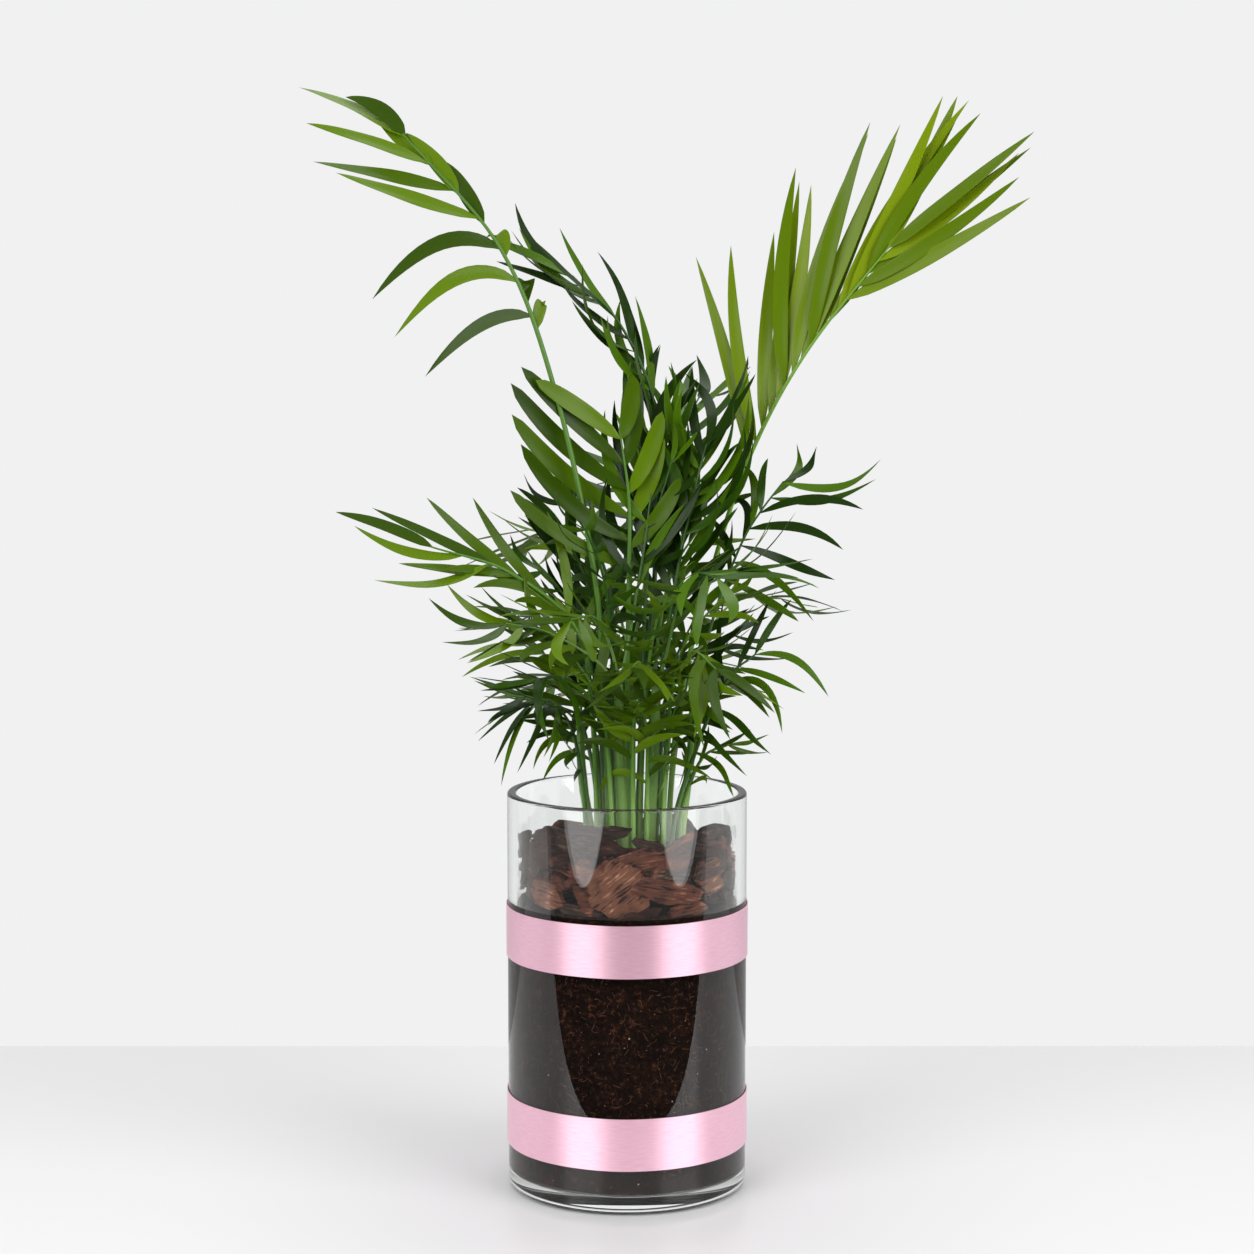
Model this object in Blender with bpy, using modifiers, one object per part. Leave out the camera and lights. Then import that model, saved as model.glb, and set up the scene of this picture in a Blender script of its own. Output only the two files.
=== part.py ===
# Parlour palm (Chamaedorea elegans), a clump of young plants in a clear glass cylinder vase.
# Metres, +Z up. The origin is the middle of the vase's flat underside and -Y is the front.
# The vase holds soil under a bed of bark chips, and two plain satin ribbons are wound round it.
# Five short canes and fourteen bare leaf stalks rise from the soil. Each frond is one thin solid:
# a three-sided rib with its leaflets fused on by a rule, kept clear of every other frond.

import math

import bmesh
import bpy
import numpy as np
from mathutils import Matrix
from mathutils.bvhtree import BVHTree

MM = 0.001
GAP = 0.3 * MM  # air left between pieces that rest on each other

# The vase and what fills it
VASE_RADIUS = 60 * MM
VASE_HEIGHT = 200 * MM
VASE_WALL = 4.5 * MM
VASE_FLOOR = 8 * MM
VASE_HEEL = 4 * MM  # rounding between the underside and the wall
VASE_STEPS = 32
SOIL_TOP = 150 * MM  # level middle that the canes and stalks stand on
SOIL_EDGE = 146 * MM  # where the soil meets the glass
SOIL_LEVEL_RADIUS = 34 * MM
RIBBON_HEIGHT = 26 * MM
RIBBON_THICKNESS = 0.6 * MM
RIBBON_BOTTOMS = {"ribbon_lower": 22.8 * MM, "ribbon_upper": 117.8 * MM}
RIBBON_STEPS = 40

# The bark bed is a ring of chips, open in the middle where the plant stands
BARK_INNER = 31 * MM
BARK_OUTER = VASE_RADIUS - VASE_WALL - 0.8 * MM
BARK_CREST = 42 * MM  # radius at which the ring is highest
BARK_BED_TOP = 170 * MM
BARK_PEAK = 186 * MM
BARK_STEPS = 18
BARK_CHIPS = 15
CHIP_SIZE = (29 * MM, 19 * MM, 9 * MM)

# Canes: foot and top are x, y and x, y, z in mm. The first slot is the bearing of the first
# frond's foot on the cane's top, and the others follow at a third of a turn.
CANES = {
    "cane_front": dict(foot=(-2, -20), top=(-4, -24, 250), radius=2.75, first_slot=170),
    "cane_left": dict(foot=(-16, -6), top=(-23, -9, 228), radius=2.4, first_slot=200),
    "cane_right_front": dict(foot=(11, -17), top=(14, -22, 248), radius=2.5, first_slot=330),
    "cane_right": dict(foot=(26, 0), top=(33, 0, 246), radius=2.4, first_slot=350),
    "cane_back": dict(foot=(2, 18), top=(2, 25, 262), radius=2.5, first_slot=90),
}
CANE_TAPER = 0.88  # top radius over foot radius
CANE_SWELL = 1.12  # the foot is a little thicker where it enters the soil
SLOT_RADIUS = 1.25 * MM  # how far a stalk's foot stands from the middle of its cane's top

# Stalk and rib radii, from the foot to the tip of a frond
STALK_RADIUS = 1.5 * MM
CANE_STALK_RADIUS = 0.88 * MM
NECK_SHARE = 0.78  # rib radius over stalk radius where the leaflets begin
TIP_RADIUS = 0.42 * MM

# Fronds. foot is an x, y on the soil, or the name of a cane and the slot on its top. path is
# what the rib runs through, the last point being its tip, and neck is the share of its length
# without leaflets. heading is the bearing the frond leans to and roll turns its face round the
# rib. Pairs of values are for the +side and the -side leaflets: spread is their angle from the
# rib in degrees at the neck, reach their share of length, droop how far they sag, and start the
# share of the rib where they begin. close is the spread left at the tip, reached the sooner the
# smaller bunch is. tip is the share of length left there, and limp the extra droop at the neck.
# Where hang is given, the leaflets below that share of the rib all take limp. Lengths are in mm.
FROND_DEFAULTS = dict(
    pairs=7, width=7, spread=(62, 62), reach=(1, 1), droop=(0.28, 0.28), start=(0, 0), close=0.4,
    tip=1.0, limp=0.0, hang=None, bunch=1.0, roll=0, fold=12, blunt=0.0, tone="dark",
)
FRONDS = {
    "frond_tall_left": dict(
        foot=(-8, -10),
        path=((-11, -12, 240), (-16, -16, 310), (-35, -22, 400), (-61, -24, 468), (-108, -20, 523)),
        neck=0.71, heading=180, roll=62, pairs=7, length=70, width=9, spread=(30, 50), reach=(0.6, 1),
        droop=(0.30, 0.35), limp=2.4, hang=0.42, tip=1.06, close=0.15, fold=10, tone="mid"),
    "frond_left_arch": dict(
        foot=(4, 4), path=((8, 5, 240), (14, 6, 310), (15, 6, 384), (-2, 3, 430), (-27, 1, 456)),
        neck=0.68, heading=180, roll=30, pairs=8, length=58, width=8, spread=(13, 13), reach=(0.9, 1),
        droop=(0.10, 0.14), limp=1.2, close=0.6, fold=14),
    "frond_young_right": dict(
        foot=(20, 6), path=((26, 8, 240), (46, 10, 322), (64, 10, 373), (90, 8, 420), (130, 6, 471)),
        neck=0.62, heading=0, roll=-72, pairs=9, length=113, width=10, spread=(140, 46), reach=(0.82, 1),
        droop=(0.0, 0.05), start=(0.7, 0), close=0.06, bunch=0.4, fold=6, tone="young"),
    "frond_broad": dict(
        foot=(0, -8), path=((0, -10, 240), (1, -12, 310), (1, -13, 346), (-3, -14, 377)),
        neck=0.70, heading=180, roll=84, pairs=6, length=80, width=11, spread=(26, 52), reach=(0.62, 1),
        droop=(0.05, 0.05), tip=0.75, close=0.82, fold=8, blunt=0.8, tone="mid"),
    "frond_left_mid": dict(
        foot=(-14, -16), path=((-17, -20, 240), (-25, -24, 284), (-57, -31, 312), (-95, -37, 325)),
        neck=0.58, heading=190, roll=56, pairs=7, length=60, width=7.5, spread=(50, 32), reach=(1, 0.9),
        droop=(0.16, 0.30), tip=0.95, close=0.08, bunch=0.55, blunt=0.2, tone="mid"),
    "frond_right_mid": dict(
        foot=("cane_right", 0), path=((44, -9, 292), (56, -18, 325), (65, -23, 341), (76, -27, 356)),
        neck=0.52, heading=345, roll=-58, pairs=7, length=70, width=6, spread=(56, 54), reach=(1, 0.6),
        droop=(0.36, 0.38), limp=0.8, close=0.45, fold=14),
    "frond_centre_right": dict(
        foot=(12, -4), path=((15, -6, 240), (24, -9, 305), (31, -12, 341), (39, -11, 374)),
        neck=0.60, heading=0, roll=-62, pairs=8, length=60, width=9, spread=(36, 40), reach=(1, 0.9),
        droop=(0.10, 0.10), fold=16),
    "frond_centre_up": dict(
        foot=("cane_front", 2), path=((3, -19, 290), (10, -12, 334), (14, -4, 374)),
        neck=0.42, heading=20, roll=-66, length=58, width=9, spread=(26, 28), droop=(0.04, 0.06)),
    "frond_low_right": dict(
        foot=(21, -13), path=((24, -14, 190), (39, -19, 237), (50, -23, 260), (63, -28, 272)),
        neck=0.54, heading=340, roll=-55, pairs=6, length=50, width=5, spread=(62, 60), reach=(1, 0.9),
        droop=(0.56, 0.20), limp=0.4, close=0.5, fold=16),
    "frond_left_low": dict(
        foot=("cane_front", 0), path=((-16, -33, 270), (-38, -43, 284), (-58, -50, 289)),
        neck=0.34, heading=200, roll=30, length=42, spread=(56, 58), droop=(0.10, 0.30), tone="mid"),
    "frond_droop_left": dict(
        foot=("cane_left", 0), path=((-29, -13, 241), (-38, -19, 248), (-47, -23, 247)),
        neck=0.36, heading=205, roll=8, pairs=6, length=34, width=4.5, spread=(60, 60), droop=(0.75, 0.85),
        close=0.55, fold=10),
    "frond_front_right": dict(
        foot=("cane_right_front", 0), path=((20, -33, 276), (25, -48, 300), (32, -68, 314), (42, -90, 314)),
        neck=0.46, heading=290, roll=-18, length=62, width=7, spread=(70, 64), reach=(0.9, 1),
        droop=(0.26, 0.24), close=0.36),
    "frond_front": dict(
        foot=("cane_front", 1), path=((-8, -36, 276), (-15, -54, 292), (-26, -82, 294)),
        neck=0.40, heading=250, roll=20, length=50, width=6.5, spread=(64, 66), droop=(0.26, 0.30),
        close=0.36, blunt=0.2, tone="mid"),
    "frond_low_front": dict(
        foot=("cane_right_front", 2), path=((9, -32, 259), (6, -48, 270), (2, -72, 270)),
        neck=0.36, heading=266, pairs=6, length=38, width=6, spread=(64, 64), droop=(0.40, 0.40), tone="mid"),
    "frond_low_front_left": dict(
        foot=("cane_left", 1), path=((-25, -20, 246), (-32, -42, 262), (-42, -66, 264)),
        neck=0.38, heading=244, roll=14, pairs=6, length=40, width=5.5, spread=(64, 64), droop=(0.44, 0.50)),
    "frond_bright_low": dict(
        foot=("cane_right", 2), path=((31, -8, 262), (33, -24, 273), (43, -42, 266)),
        neck=0.42, heading=306, roll=-14, pairs=5, length=44, spread=(54, 60), reach=(1, 0.9),
        droop=(0.55, 0.45), tone="mid"),
    "frond_right_back": dict(
        foot=("cane_right", 1), path=((40, 18, 276), (57, 36, 293), (80, 52, 292)),
        neck=0.42, heading=34, length=40, tone="mid"),
    "frond_back": dict(
        foot=("cane_back", 0), path=((2, 46, 318), (4, 80, 352), (6, 122, 354)),
        neck=0.42, heading=88, pairs=9, length=58, width=9, spread=(62, 62), droop=(0.24, 0.24)),
    "frond_back_left": dict(
        foot=("cane_back", 1), path=((-9, 38, 300), (-26, 66, 328), (-48, 96, 322)),
        neck=0.40, heading=126, pairs=8, length=52, width=8, tone="mid"),
    "frond_back_right": dict(
        foot=("cane_back", 2), path=((13, 34, 322), (24, 50, 370), (38, 78, 396)),
        neck=0.44, heading=62, pairs=8, length=52, width=8, spread=(54, 54), droop=(0.16, 0.16), fold=16),
    "frond_side_left": dict(
        foot=("cane_left", 2), path=((-25, 4, 258), (-38, 22, 282), (-56, 42, 284)),
        neck=0.42, heading=140, length=40),
    "frond_centre_left": dict(
        foot=(-6, 8), path=((-9, 12, 236), (-14, 17, 276), (-21, 21, 304), (-30, 22, 326)),
        neck=0.52, heading=160, roll=40, length=44, width=8, spread=(54, 50), droop=(0.12, 0.12)),
    "frond_low_back_right": dict(
        foot=(12, 20), path=((16, 27, 226), (29, 54, 258), (46, 82, 254)),
        neck=0.52, heading=58, length=42, droop=(0.36, 0.36), tone="mid"),
    "frond_low_back_left": dict(
        foot=(-12, 16), path=((-16, 24, 222), (-29, 50, 250), (-46, 78, 246)),
        neck=0.52, heading=122, length=42, droop=(0.36, 0.36)),
    "frond_inner_left": dict(
        foot=(-6, -26), path=((-9, -28, 220), (-14, -29, 250), (-27, -31, 272)),
        neck=0.60, heading=190, roll=55, pairs=6, length=40, spread=(58, 56), droop=(0.16, 0.30),
        tone="mid"),
    "frond_inner_right": dict(
        foot=(14, 6), path=((17, 6, 220), (22, 8, 258), (34, 12, 286)),
        neck=0.60, heading=10, roll=-60, pairs=6, length=42, spread=(56, 58), droop=(0.30, 0.16)),
    "frond_inner_front": dict(
        foot=(3, -28), path=((3, -32, 214), (4, -40, 244), (8, -56, 258)),
        neck=0.60, heading=282, roll=20, pairs=6, length=36, spread=(60, 60), tone="mid"),
    "frond_inner_back": dict(
        foot=(-7, 22), path=((-8, 25, 226), (-6, 36, 282), (0, 54, 312)),
        neck=0.58, heading=80, length=46, width=8),
    "frond_rim_right": dict(
        foot=(25, -7), path=((27, -8, 190), (37, -14, 218), (50, -20, 226)),
        neck=0.62, heading=335, roll=-40, pairs=4, length=28, width=4, spread=(44, 50),
        droop=(0.34, 0.40), tone="mid"),
}
FRONDS = {name: {**FROND_DEFAULTS, **frond} for name, frond in FRONDS.items()}

RIB_SAMPLES = 61  # points that a frond's centre line is worked out at
STALK_SECTIONS = 5
RACHIS_SECTIONS = 7
LEAF_STATIONS = (0.0, 0.12, 0.42, 0.74)  # shares of a long leaflet's length, before its tip
SHORT_LEAF_STATIONS = (0.0, 0.16, 0.55)  # the same for leaflets under LONG_LEAF
LONG_LEAF = 56 * MM
ROOT_SHARE = 0.08  # the root inside the rib widens to the blade over this share of the length
LEAF_THICKNESS = 0.9 * MM  # depth of the keel, or a hundredth of the length if that is more
ENVELOPE = 0.45 * MM  # a leaflet keeps this far from everything outside its frond
SWEEP = 0.25  # leaflets curve forward along the rib

# What a leaflet tries in turn when it would touch something: more spread in degrees, more droop,
# more fold in degrees, and a share of its length. The last resort is no leaflet.
CHANGES = (
    (0, 0.0, 0, 1.0),
    (7, 0.0, 9, 1.0),
    (-7, 0.0, -9, 1.0),
    (3, 0.14, 14, 1.0),
    (-3, -0.12, -14, 1.0),
    (13, 0.10, -18, 0.95),
    (-12, -0.08, 20, 0.95),
    (5, 0.26, 4, 0.85),
    (0, -0.10, 26, 0.8),
    (0, 0.10, -26, 0.7),
)

MATERIALS = {
    "glass": ("#DCE6E4", 0.03, 0.0),
    "soil": ("#1F1410", 0.95, 0.0),
    "bark": ("#7A5040", 0.85, 0.0),
    "satin": ("#E9BFD6", 0.35, 0.0),
    "cane": ("#7FA25A", 0.50, 0.0),
    "leaf_dark": ("#24480F", 0.45, 0.0),
    "leaf_mid": ("#35700F", 0.45, 0.0),
    "leaf_young": ("#6F9A17", 0.45, 0.0),
}


def linear(hex_colour):
    # sRGB hex to the linear values that Blender shades with
    parts = [int(hex_colour[i:i + 2], 16) / 255 for i in (1, 3, 5)]
    return [p / 12.92 if p <= 0.04045 else ((p + 0.055) / 1.055) ** 2.4 for p in parts]


def make_materials():
    made = {}
    for name, (colour, roughness, metallic) in MATERIALS.items():
        material = bpy.data.materials.new(name)
        material.use_nodes = True
        shader = material.node_tree.nodes["Principled BSDF"]
        shader.inputs["Base Color"].default_value = (*linear(colour), 1)
        shader.inputs["Roughness"].default_value = roughness
        shader.inputs["Metallic"].default_value = metallic
        made[name] = material
    return made


def jitter(*keys):
    # A repeatable value from -1 to 1 for any few whole numbers
    value = math.sin(sum(k * w for k, w in zip(keys, (12.9898, 78.233, 37.719)))) * 43758.5453
    return 2 * (value - math.floor(value)) - 1


def unit(vectors):
    return vectors / np.linalg.norm(vectors, axis=-1, keepdims=True)


def add_object(name, points, faces, material, collection):
    mesh = bpy.data.meshes.new(name)
    mesh.from_pydata([tuple(p) for p in points], [], faces)
    shape = bmesh.new()
    shape.from_mesh(mesh)
    bmesh.ops.recalc_face_normals(shape, faces=shape.faces)
    shape.to_mesh(mesh)
    shape.free()
    obj = bpy.data.objects.new(name, mesh)
    obj.data.materials.append(material)
    collection.objects.link(obj)
    return obj


def turned(name, profile, steps, material, collection):
    # A profile of radius and height, swept once round +Z by a Screw modifier
    mesh = bpy.data.meshes.new(name)
    closed = profile[0][0] > 0
    edges = [(i, i + 1) for i in range(len(profile) - 1)]
    if closed:
        edges.append((len(profile) - 1, 0))
    mesh.from_pydata([(r, 0, z) for r, z in profile], edges, [])
    obj = bpy.data.objects.new(name, mesh)
    obj.data.materials.append(material)
    collection.objects.link(obj)
    screw = obj.modifiers.new("turn", "SCREW")
    screw.steps = steps
    screw.render_steps = steps
    screw.use_merge_vertices = True
    screw.merge_threshold = 0.00001
    return obj


def arc(centre, radius, start, end, count):
    # Points of a circular arc in the profile's plane, angles in degrees
    angles = np.radians(np.linspace(start, end, count))
    return [(centre[0] + radius * math.cos(a), centre[1] + radius * math.sin(a)) for a in angles]


def vase_profile():
    # From the middle of the floor inside, up the inner wall, over the rim and down to the base
    inner = VASE_RADIUS - VASE_WALL
    fillet = 3 * MM
    rim = VASE_WALL / 2
    return (
        [(0, VASE_FLOOR)]
        + arc((inner - fillet, VASE_FLOOR + fillet), fillet, -90, 0, 3)
        + arc((VASE_RADIUS - rim, VASE_HEIGHT - rim), rim, 180, 0, 6)
        + arc((VASE_RADIUS - VASE_HEEL, VASE_HEEL), VASE_HEEL, 0, -90, 4)
        + [(0, 0)]
    )


def soil_profile():
    outer = VASE_RADIUS - VASE_WALL - GAP
    fillet = 3 * MM
    base = VASE_FLOOR + GAP
    return (
        [(0, SOIL_TOP), (SOIL_LEVEL_RADIUS, SOIL_TOP), (outer, SOIL_EDGE)]
        + arc((outer - fillet, base + fillet), fillet, 0, -90, 3)
        + [(0, base)]
    )


def ribbon_profile(bottom):
    inner = VASE_RADIUS + GAP
    outer = inner + RIBBON_THICKNESS
    top = bottom + RIBBON_HEIGHT
    return [(inner, bottom), (inner, top), (outer, top), (outer, bottom)]


def bark_profile():
    lift = 0.4 * MM
    return [
        (BARK_INNER, SOIL_TOP + lift),
        (BARK_INNER, BARK_BED_TOP - 3 * MM),
        (BARK_CREST, BARK_BED_TOP),
        (BARK_OUTER, BARK_BED_TOP - 4 * MM),
        (BARK_OUTER, SOIL_EDGE + lift),
        (SOIL_LEVEL_RADIUS + 1 * MM, SOIL_TOP + lift),
    ]


def applied(obj):
    # The object's mesh with its modifiers run, in place of the live ones
    graph = bpy.context.evaluated_depsgraph_get()
    mesh = bpy.data.meshes.new_from_object(obj.evaluated_get(graph))
    obj.modifiers.clear()
    obj.data = mesh


def keep_outer_shell(obj):
    # Fills hollows that a union has sealed and drops loose scraps: only the largest shell stays.
    # Faces belong to one shell when they share an edge that no third face meets.
    shape = bmesh.new()
    shape.from_mesh(obj.data)
    waiting = set(shape.faces)
    shells = []
    while waiting:
        shell = {waiting.pop()}
        rim = list(shell)
        while rim:
            edges = [edge for edge in rim.pop().edges if len(edge.link_faces) == 2]
            found = {face for edge in edges for face in edge.link_faces} - shell
            shell |= found
            rim += found
        waiting -= shell
        shells.append(shell)
    largest = max(shells, key=len)
    scraps = [face for face in shape.faces if face not in largest]
    bmesh.ops.delete(shape, geom=scraps, context="FACES")
    shape.to_mesh(obj.data)
    shape.free()


def fuse(obj, pieces):
    # One union of the object with everything in the collection, which is then removed
    union = obj.modifiers.new("fuse", "BOOLEAN")
    union.operation = "UNION"
    union.operand_type = "COLLECTION"
    union.collection = pieces
    union.solver = "MANIFOLD"
    applied(obj)
    keep_outer_shell(obj)
    for piece in list(pieces.objects):
        bpy.data.objects.remove(piece)
    bpy.data.collections.remove(pieces)


def bark_chip(index, material, collection):
    # A flat split chip: a box with its corners pushed about, leaning on the ring of bark
    size = np.array(CHIP_SIZE) * (1 + 0.22 * jitter(index, 1))
    corners = np.array([(x, y, z) for x in (-0.5, 0.5) for y in (-0.5, 0.5) for z in (-0.5, 0.5)])
    pushes = np.array([[0.12 * jitter(index, k, a) for a in range(3)] for k in range(8)])
    corners = (corners + pushes) * size
    lean = math.radians(34 * jitter(index, 2))
    turn = math.radians(90 * jitter(index, 3))
    tilt = np.array(Matrix.Rotation(turn, 3, "Z") @ Matrix.Rotation(lean, 3, "X"))
    bearing = 2 * math.pi * (index + 0.25 * jitter(index, 4)) / BARK_CHIPS
    radius = BARK_CREST + 3 * MM * jitter(index, 5)
    height = BARK_BED_TOP + 3 * MM + 3 * MM * jitter(index, 6)
    middle = (radius * math.cos(bearing), radius * math.sin(bearing), height)
    corners = corners @ tilt.T + middle
    reach = np.hypot(corners[:, 0], corners[:, 1])
    kept = np.clip(reach, BARK_INNER + 0.5 * MM, BARK_OUTER - 0.4 * MM)
    corners[:, :2] *= (kept / reach)[:, None]
    corners[:, 2] = np.minimum(corners[:, 2], BARK_PEAK)
    faces = [(0, 1, 3, 2), (4, 6, 7, 5), (0, 4, 5, 1), (2, 3, 7, 6), (0, 2, 6, 4), (1, 5, 7, 3)]
    return add_object(f"chip_{index}", corners, faces, material, collection)


def make_bark(material, plant):
    bed = turned("bark", bark_profile(), BARK_STEPS, material, plant)
    applied(bed)
    pieces = bpy.data.collections.new("chips")
    bpy.context.scene.collection.children.link(pieces)
    for index in range(BARK_CHIPS):
        bark_chip(index, material, pieces)
    fuse(bed, pieces)
    return bed


def make_cane(name, cane, material, collection):
    # A poly curve whose radius falls from the swollen foot to the flat top
    foot = np.array((*cane["foot"], 0)) * MM + (0, 0, SOIL_TOP + GAP)
    top = np.array(cane["top"]) * MM
    above = foot + (0, 0, 8 * MM)
    below = top - (0, 0, 8 * MM)
    shares = np.linspace(0, 1, 5)[:, None]
    ease = shares * shares * (3 - 2 * shares)
    middle = above + (below - above) * np.hstack((ease, ease, shares))
    points = np.vstack((foot, middle, top))
    curve = bpy.data.curves.new(name, "CURVE")
    curve.dimensions = "3D"
    curve.bevel_depth = cane["radius"] * MM
    curve.bevel_resolution = 2
    curve.use_fill_caps = True
    spline = curve.splines.new("POLY")
    spline.points.add(len(points) - 1)
    radii = np.linspace(1, CANE_TAPER, len(points))
    radii[0] = CANE_SWELL
    for point, place, radius in zip(spline.points, points, radii):
        point.co = (*place, 1)
        point.radius = radius
    curve.materials.append(material)
    obj = bpy.data.objects.new(name, curve)
    collection.objects.link(obj)
    return obj


def smooth_path(points, count):
    # A Catmull-Rom curve through the points, read at evenly spaced lengths
    points = np.array(points, float)
    ends = np.vstack((2 * points[0] - points[1], points, 2 * points[-1] - points[-2]))
    t = np.linspace(0, 1, 24, endpoint=False)[:, None]
    spans = []
    for a, b, c, d in zip(ends, ends[1:], ends[2:], ends[3:]):
        square = 2 * a - 5 * b + 4 * c - d
        cube = 3 * b - a - 3 * c + d
        spans.append(0.5 * (2 * b + (c - a) * t + square * t**2 + cube * t**3))
    fine = np.vstack(spans + [points[-1:]])
    length = np.concatenate(([0], np.cumsum(np.linalg.norm(np.diff(fine, axis=0), axis=1))))
    wanted = np.linspace(0, length[-1], count)
    return np.stack([np.interp(wanted, length, fine[:, k]) for k in range(3)], axis=1)


def frond_foot(frond):
    if isinstance(frond["foot"][0], str):
        name, slot = frond["foot"]
        cane = CANES[name]
        bearing = math.radians(cane["first_slot"] + 120 * slot)
        top = np.array(cane["top"]) * MM
        return top + (SLOT_RADIUS * math.cos(bearing), SLOT_RADIUS * math.sin(bearing), GAP)
    return np.array((*frond["foot"], 0)) * MM + (0, 0, SOIL_TOP + GAP)


def frond_frame(frond):
    # Centre line, direction, side and face of the rib at evenly spaced lengths
    foot = frond_foot(frond)
    rise = foot + (0, 0, 6 * MM)
    centre = smooth_path(np.vstack((foot, rise, np.array(frond["path"]) * MM)), RIB_SAMPLES)
    along = unit(np.gradient(centre, axis=0))
    along[0] = (0, 0, 1)
    heading = math.radians(frond["heading"])
    level = np.array((math.sin(heading), -math.cos(heading), 0))
    side = unit(level - along * (along @ level)[:, None])
    face = np.cross(side, along)
    roll = math.radians(frond["roll"])
    turned_side = math.cos(roll) * side + math.sin(roll) * face
    return dict(centre=centre, along=along, side=turned_side, face=np.cross(turned_side, along))


def rib_radius(frond, share):
    on_cane = isinstance(frond["foot"][0], str)
    start = CANE_STALK_RADIUS if on_cane else STALK_RADIUS
    return np.interp(share, (0, frond["neck"], 1), (start, start * NECK_SHARE, TIP_RADIUS))


def at(values, share):
    # The frame's values at a share of the rib's length
    position = np.linspace(0, 1, RIB_SAMPLES)
    return np.stack([np.interp(share, position, values[:, k]) for k in range(3)], axis=-1)


def loft(sections, tip=None):
    # Rings of points joined one to the next, closed by a face at the start and a tip or a face
    rings, around = sections.shape[:2]
    points = sections.reshape(-1, 3)
    faces = [tuple(reversed(range(around)))]
    for i in range(rings - 1):
        for j in range(around):
            k = (j + 1) % around
            faces.append((i * around + j, i * around + k, (i + 1) * around + k, (i + 1) * around + j))
    last = (rings - 1) * around
    if tip is None:
        faces.append(tuple(range(last, last + around)))
    else:
        points = np.vstack((points, tip))
        faces += [(last + j, last + (j + 1) % around, len(points) - 1) for j in range(around)]
    return points, faces


def rib_shape(frond, frame, extra=0.0):
    shares = np.concatenate((
        np.linspace(0, frond["neck"], STALK_SECTIONS, endpoint=False),
        np.linspace(frond["neck"], 1, RACHIS_SECTIONS),
    ))
    centre = at(frame["centre"], shares)
    side = unit(at(frame["side"], shares))
    face = unit(at(frame["face"], shares))
    radius = (rib_radius(frond, shares) + extra)[:, None]
    corners = [
        centre + radius * (math.cos(a) * side + math.sin(a) * face)
        for a in np.radians((90, 210, 330))
    ]
    return loft(np.stack(corners, axis=1))


def leaf_outline(t, blunt):
    # Half width over its greatest: a lance shape, widest about two fifths of the way out
    end = 0.85 - 0.45 * blunt
    widest = (0.6 - 0.03 * end) / (0.6 + end)
    peak = (widest + 0.03) ** 0.6 * (1 - widest) ** end
    return (t + 0.03) ** 0.6 * (1 - t) ** end / peak


def leaflet(frond, frame, number, pair, sign, change, t):
    # Centre line, width direction, upper face, half width and thickness of one leaflet at t
    share = pair / (frond["pairs"] - 1)
    stagger = 0.4 / frond["pairs"] * (1 - share) * (sign < 0)
    place = frond["neck"] + (1 - frond["neck"]) * (0.015 + 0.97 * share + stagger)
    which = 0 if sign > 0 else 1
    more_spread, more_droop, more_fold, shorter = change
    spread = frond["spread"][which] * (1 - (1 - frond["close"]) * share ** frond["bunch"])
    spread = math.radians(spread + more_spread + 5 * jitter(number, pair, sign))
    fold = math.radians(frond["fold"] + more_fold + 7 * jitter(number, pair + 20, sign))
    if frond["hang"]:
        weight = 1 / (1 + math.exp(30 * (share - frond["hang"])))
    else:
        weight = (1 - share**2) ** 3
    droop = frond["droop"][which] * (1 + frond["limp"] * weight) + more_droop
    droop *= 1 + 0.3 * jitter(number, pair + 40, sign)
    length = frond["length"] * MM * frond["reach"][which] * shorter
    length *= (0.74 + 0.26 * math.sin(math.pi * (0.1 + 0.8 * share))) * (1 - (1 - frond["tip"]) * share**2)
    length *= 1 + 0.09 * jitter(number, pair + 60, sign)
    width = frond["width"] * MM * (0.82 + 0.18 * math.sin(math.pi * share))
    if pair == frond["pairs"] - 1:
        width *= 1.2
    along = at(frame["along"], place)
    outward = sign * math.cos(fold) * at(frame["side"], place)
    outward += math.sin(fold) * at(frame["face"], place)
    start = math.cos(spread) * along + math.sin(spread) * outward
    down = np.array((0, 0, -1))
    t = np.asarray(t, float)[:, None]
    centre = at(frame["centre"], place) + length * (start * t + (0.5 * SWEEP * along + droop * down) * t**2)
    direction = unit(start + (SWEEP * along + 2 * droop * down) * t)
    across = math.sin(spread) * along - math.cos(spread) * outward
    across = unit(across - direction * (direction @ across)[:, None])
    upper = sign * np.cross(across, direction)
    half = 0.5 * width * leaf_outline(t[:, 0], frond["blunt"])
    thickness = max(LEAF_THICKNESS, length / 100) * (1 - 0.45 * t[:, 0])
    inside = np.clip(t[:, 0] / ROOT_SHARE, 0, 1)
    half = half * inside + 0.4 * rib_radius(frond, place) * (1 - inside)
    thickness = thickness * inside + 0.25 * rib_radius(frond, place) * (1 - inside)
    return dict(
        centre=centre, direction=direction, across=across, upper=upper, half=half, thickness=thickness
    )


def blade_shape(leaf, extra=0.0):
    # Left edge, right edge and keel at each station, closed by the tip. With extra it is the
    # four-sided envelope that far outside the blade.
    inner = {key: value[:-1] for key, value in leaf.items()}
    half = (inner["half"] + extra)[:, None]
    depth = (inner["thickness"] + extra)[:, None]
    left = inner["centre"] - half * inner["across"]
    right = inner["centre"] + half * inner["across"]
    keel = inner["centre"] - depth * inner["upper"]
    tip = leaf["centre"][-1] + extra * leaf["direction"][-1]
    if not extra:
        return loft(np.stack((left, right, keel), axis=1), tip)
    crest = inner["centre"] + extra * inner["upper"]
    return loft(np.stack((left, crest, right, keel), axis=1), tip)


def tree_of(shape):
    points, faces = shape
    return BVHTree.FromPolygons([tuple(p) for p in points], faces)


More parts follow.
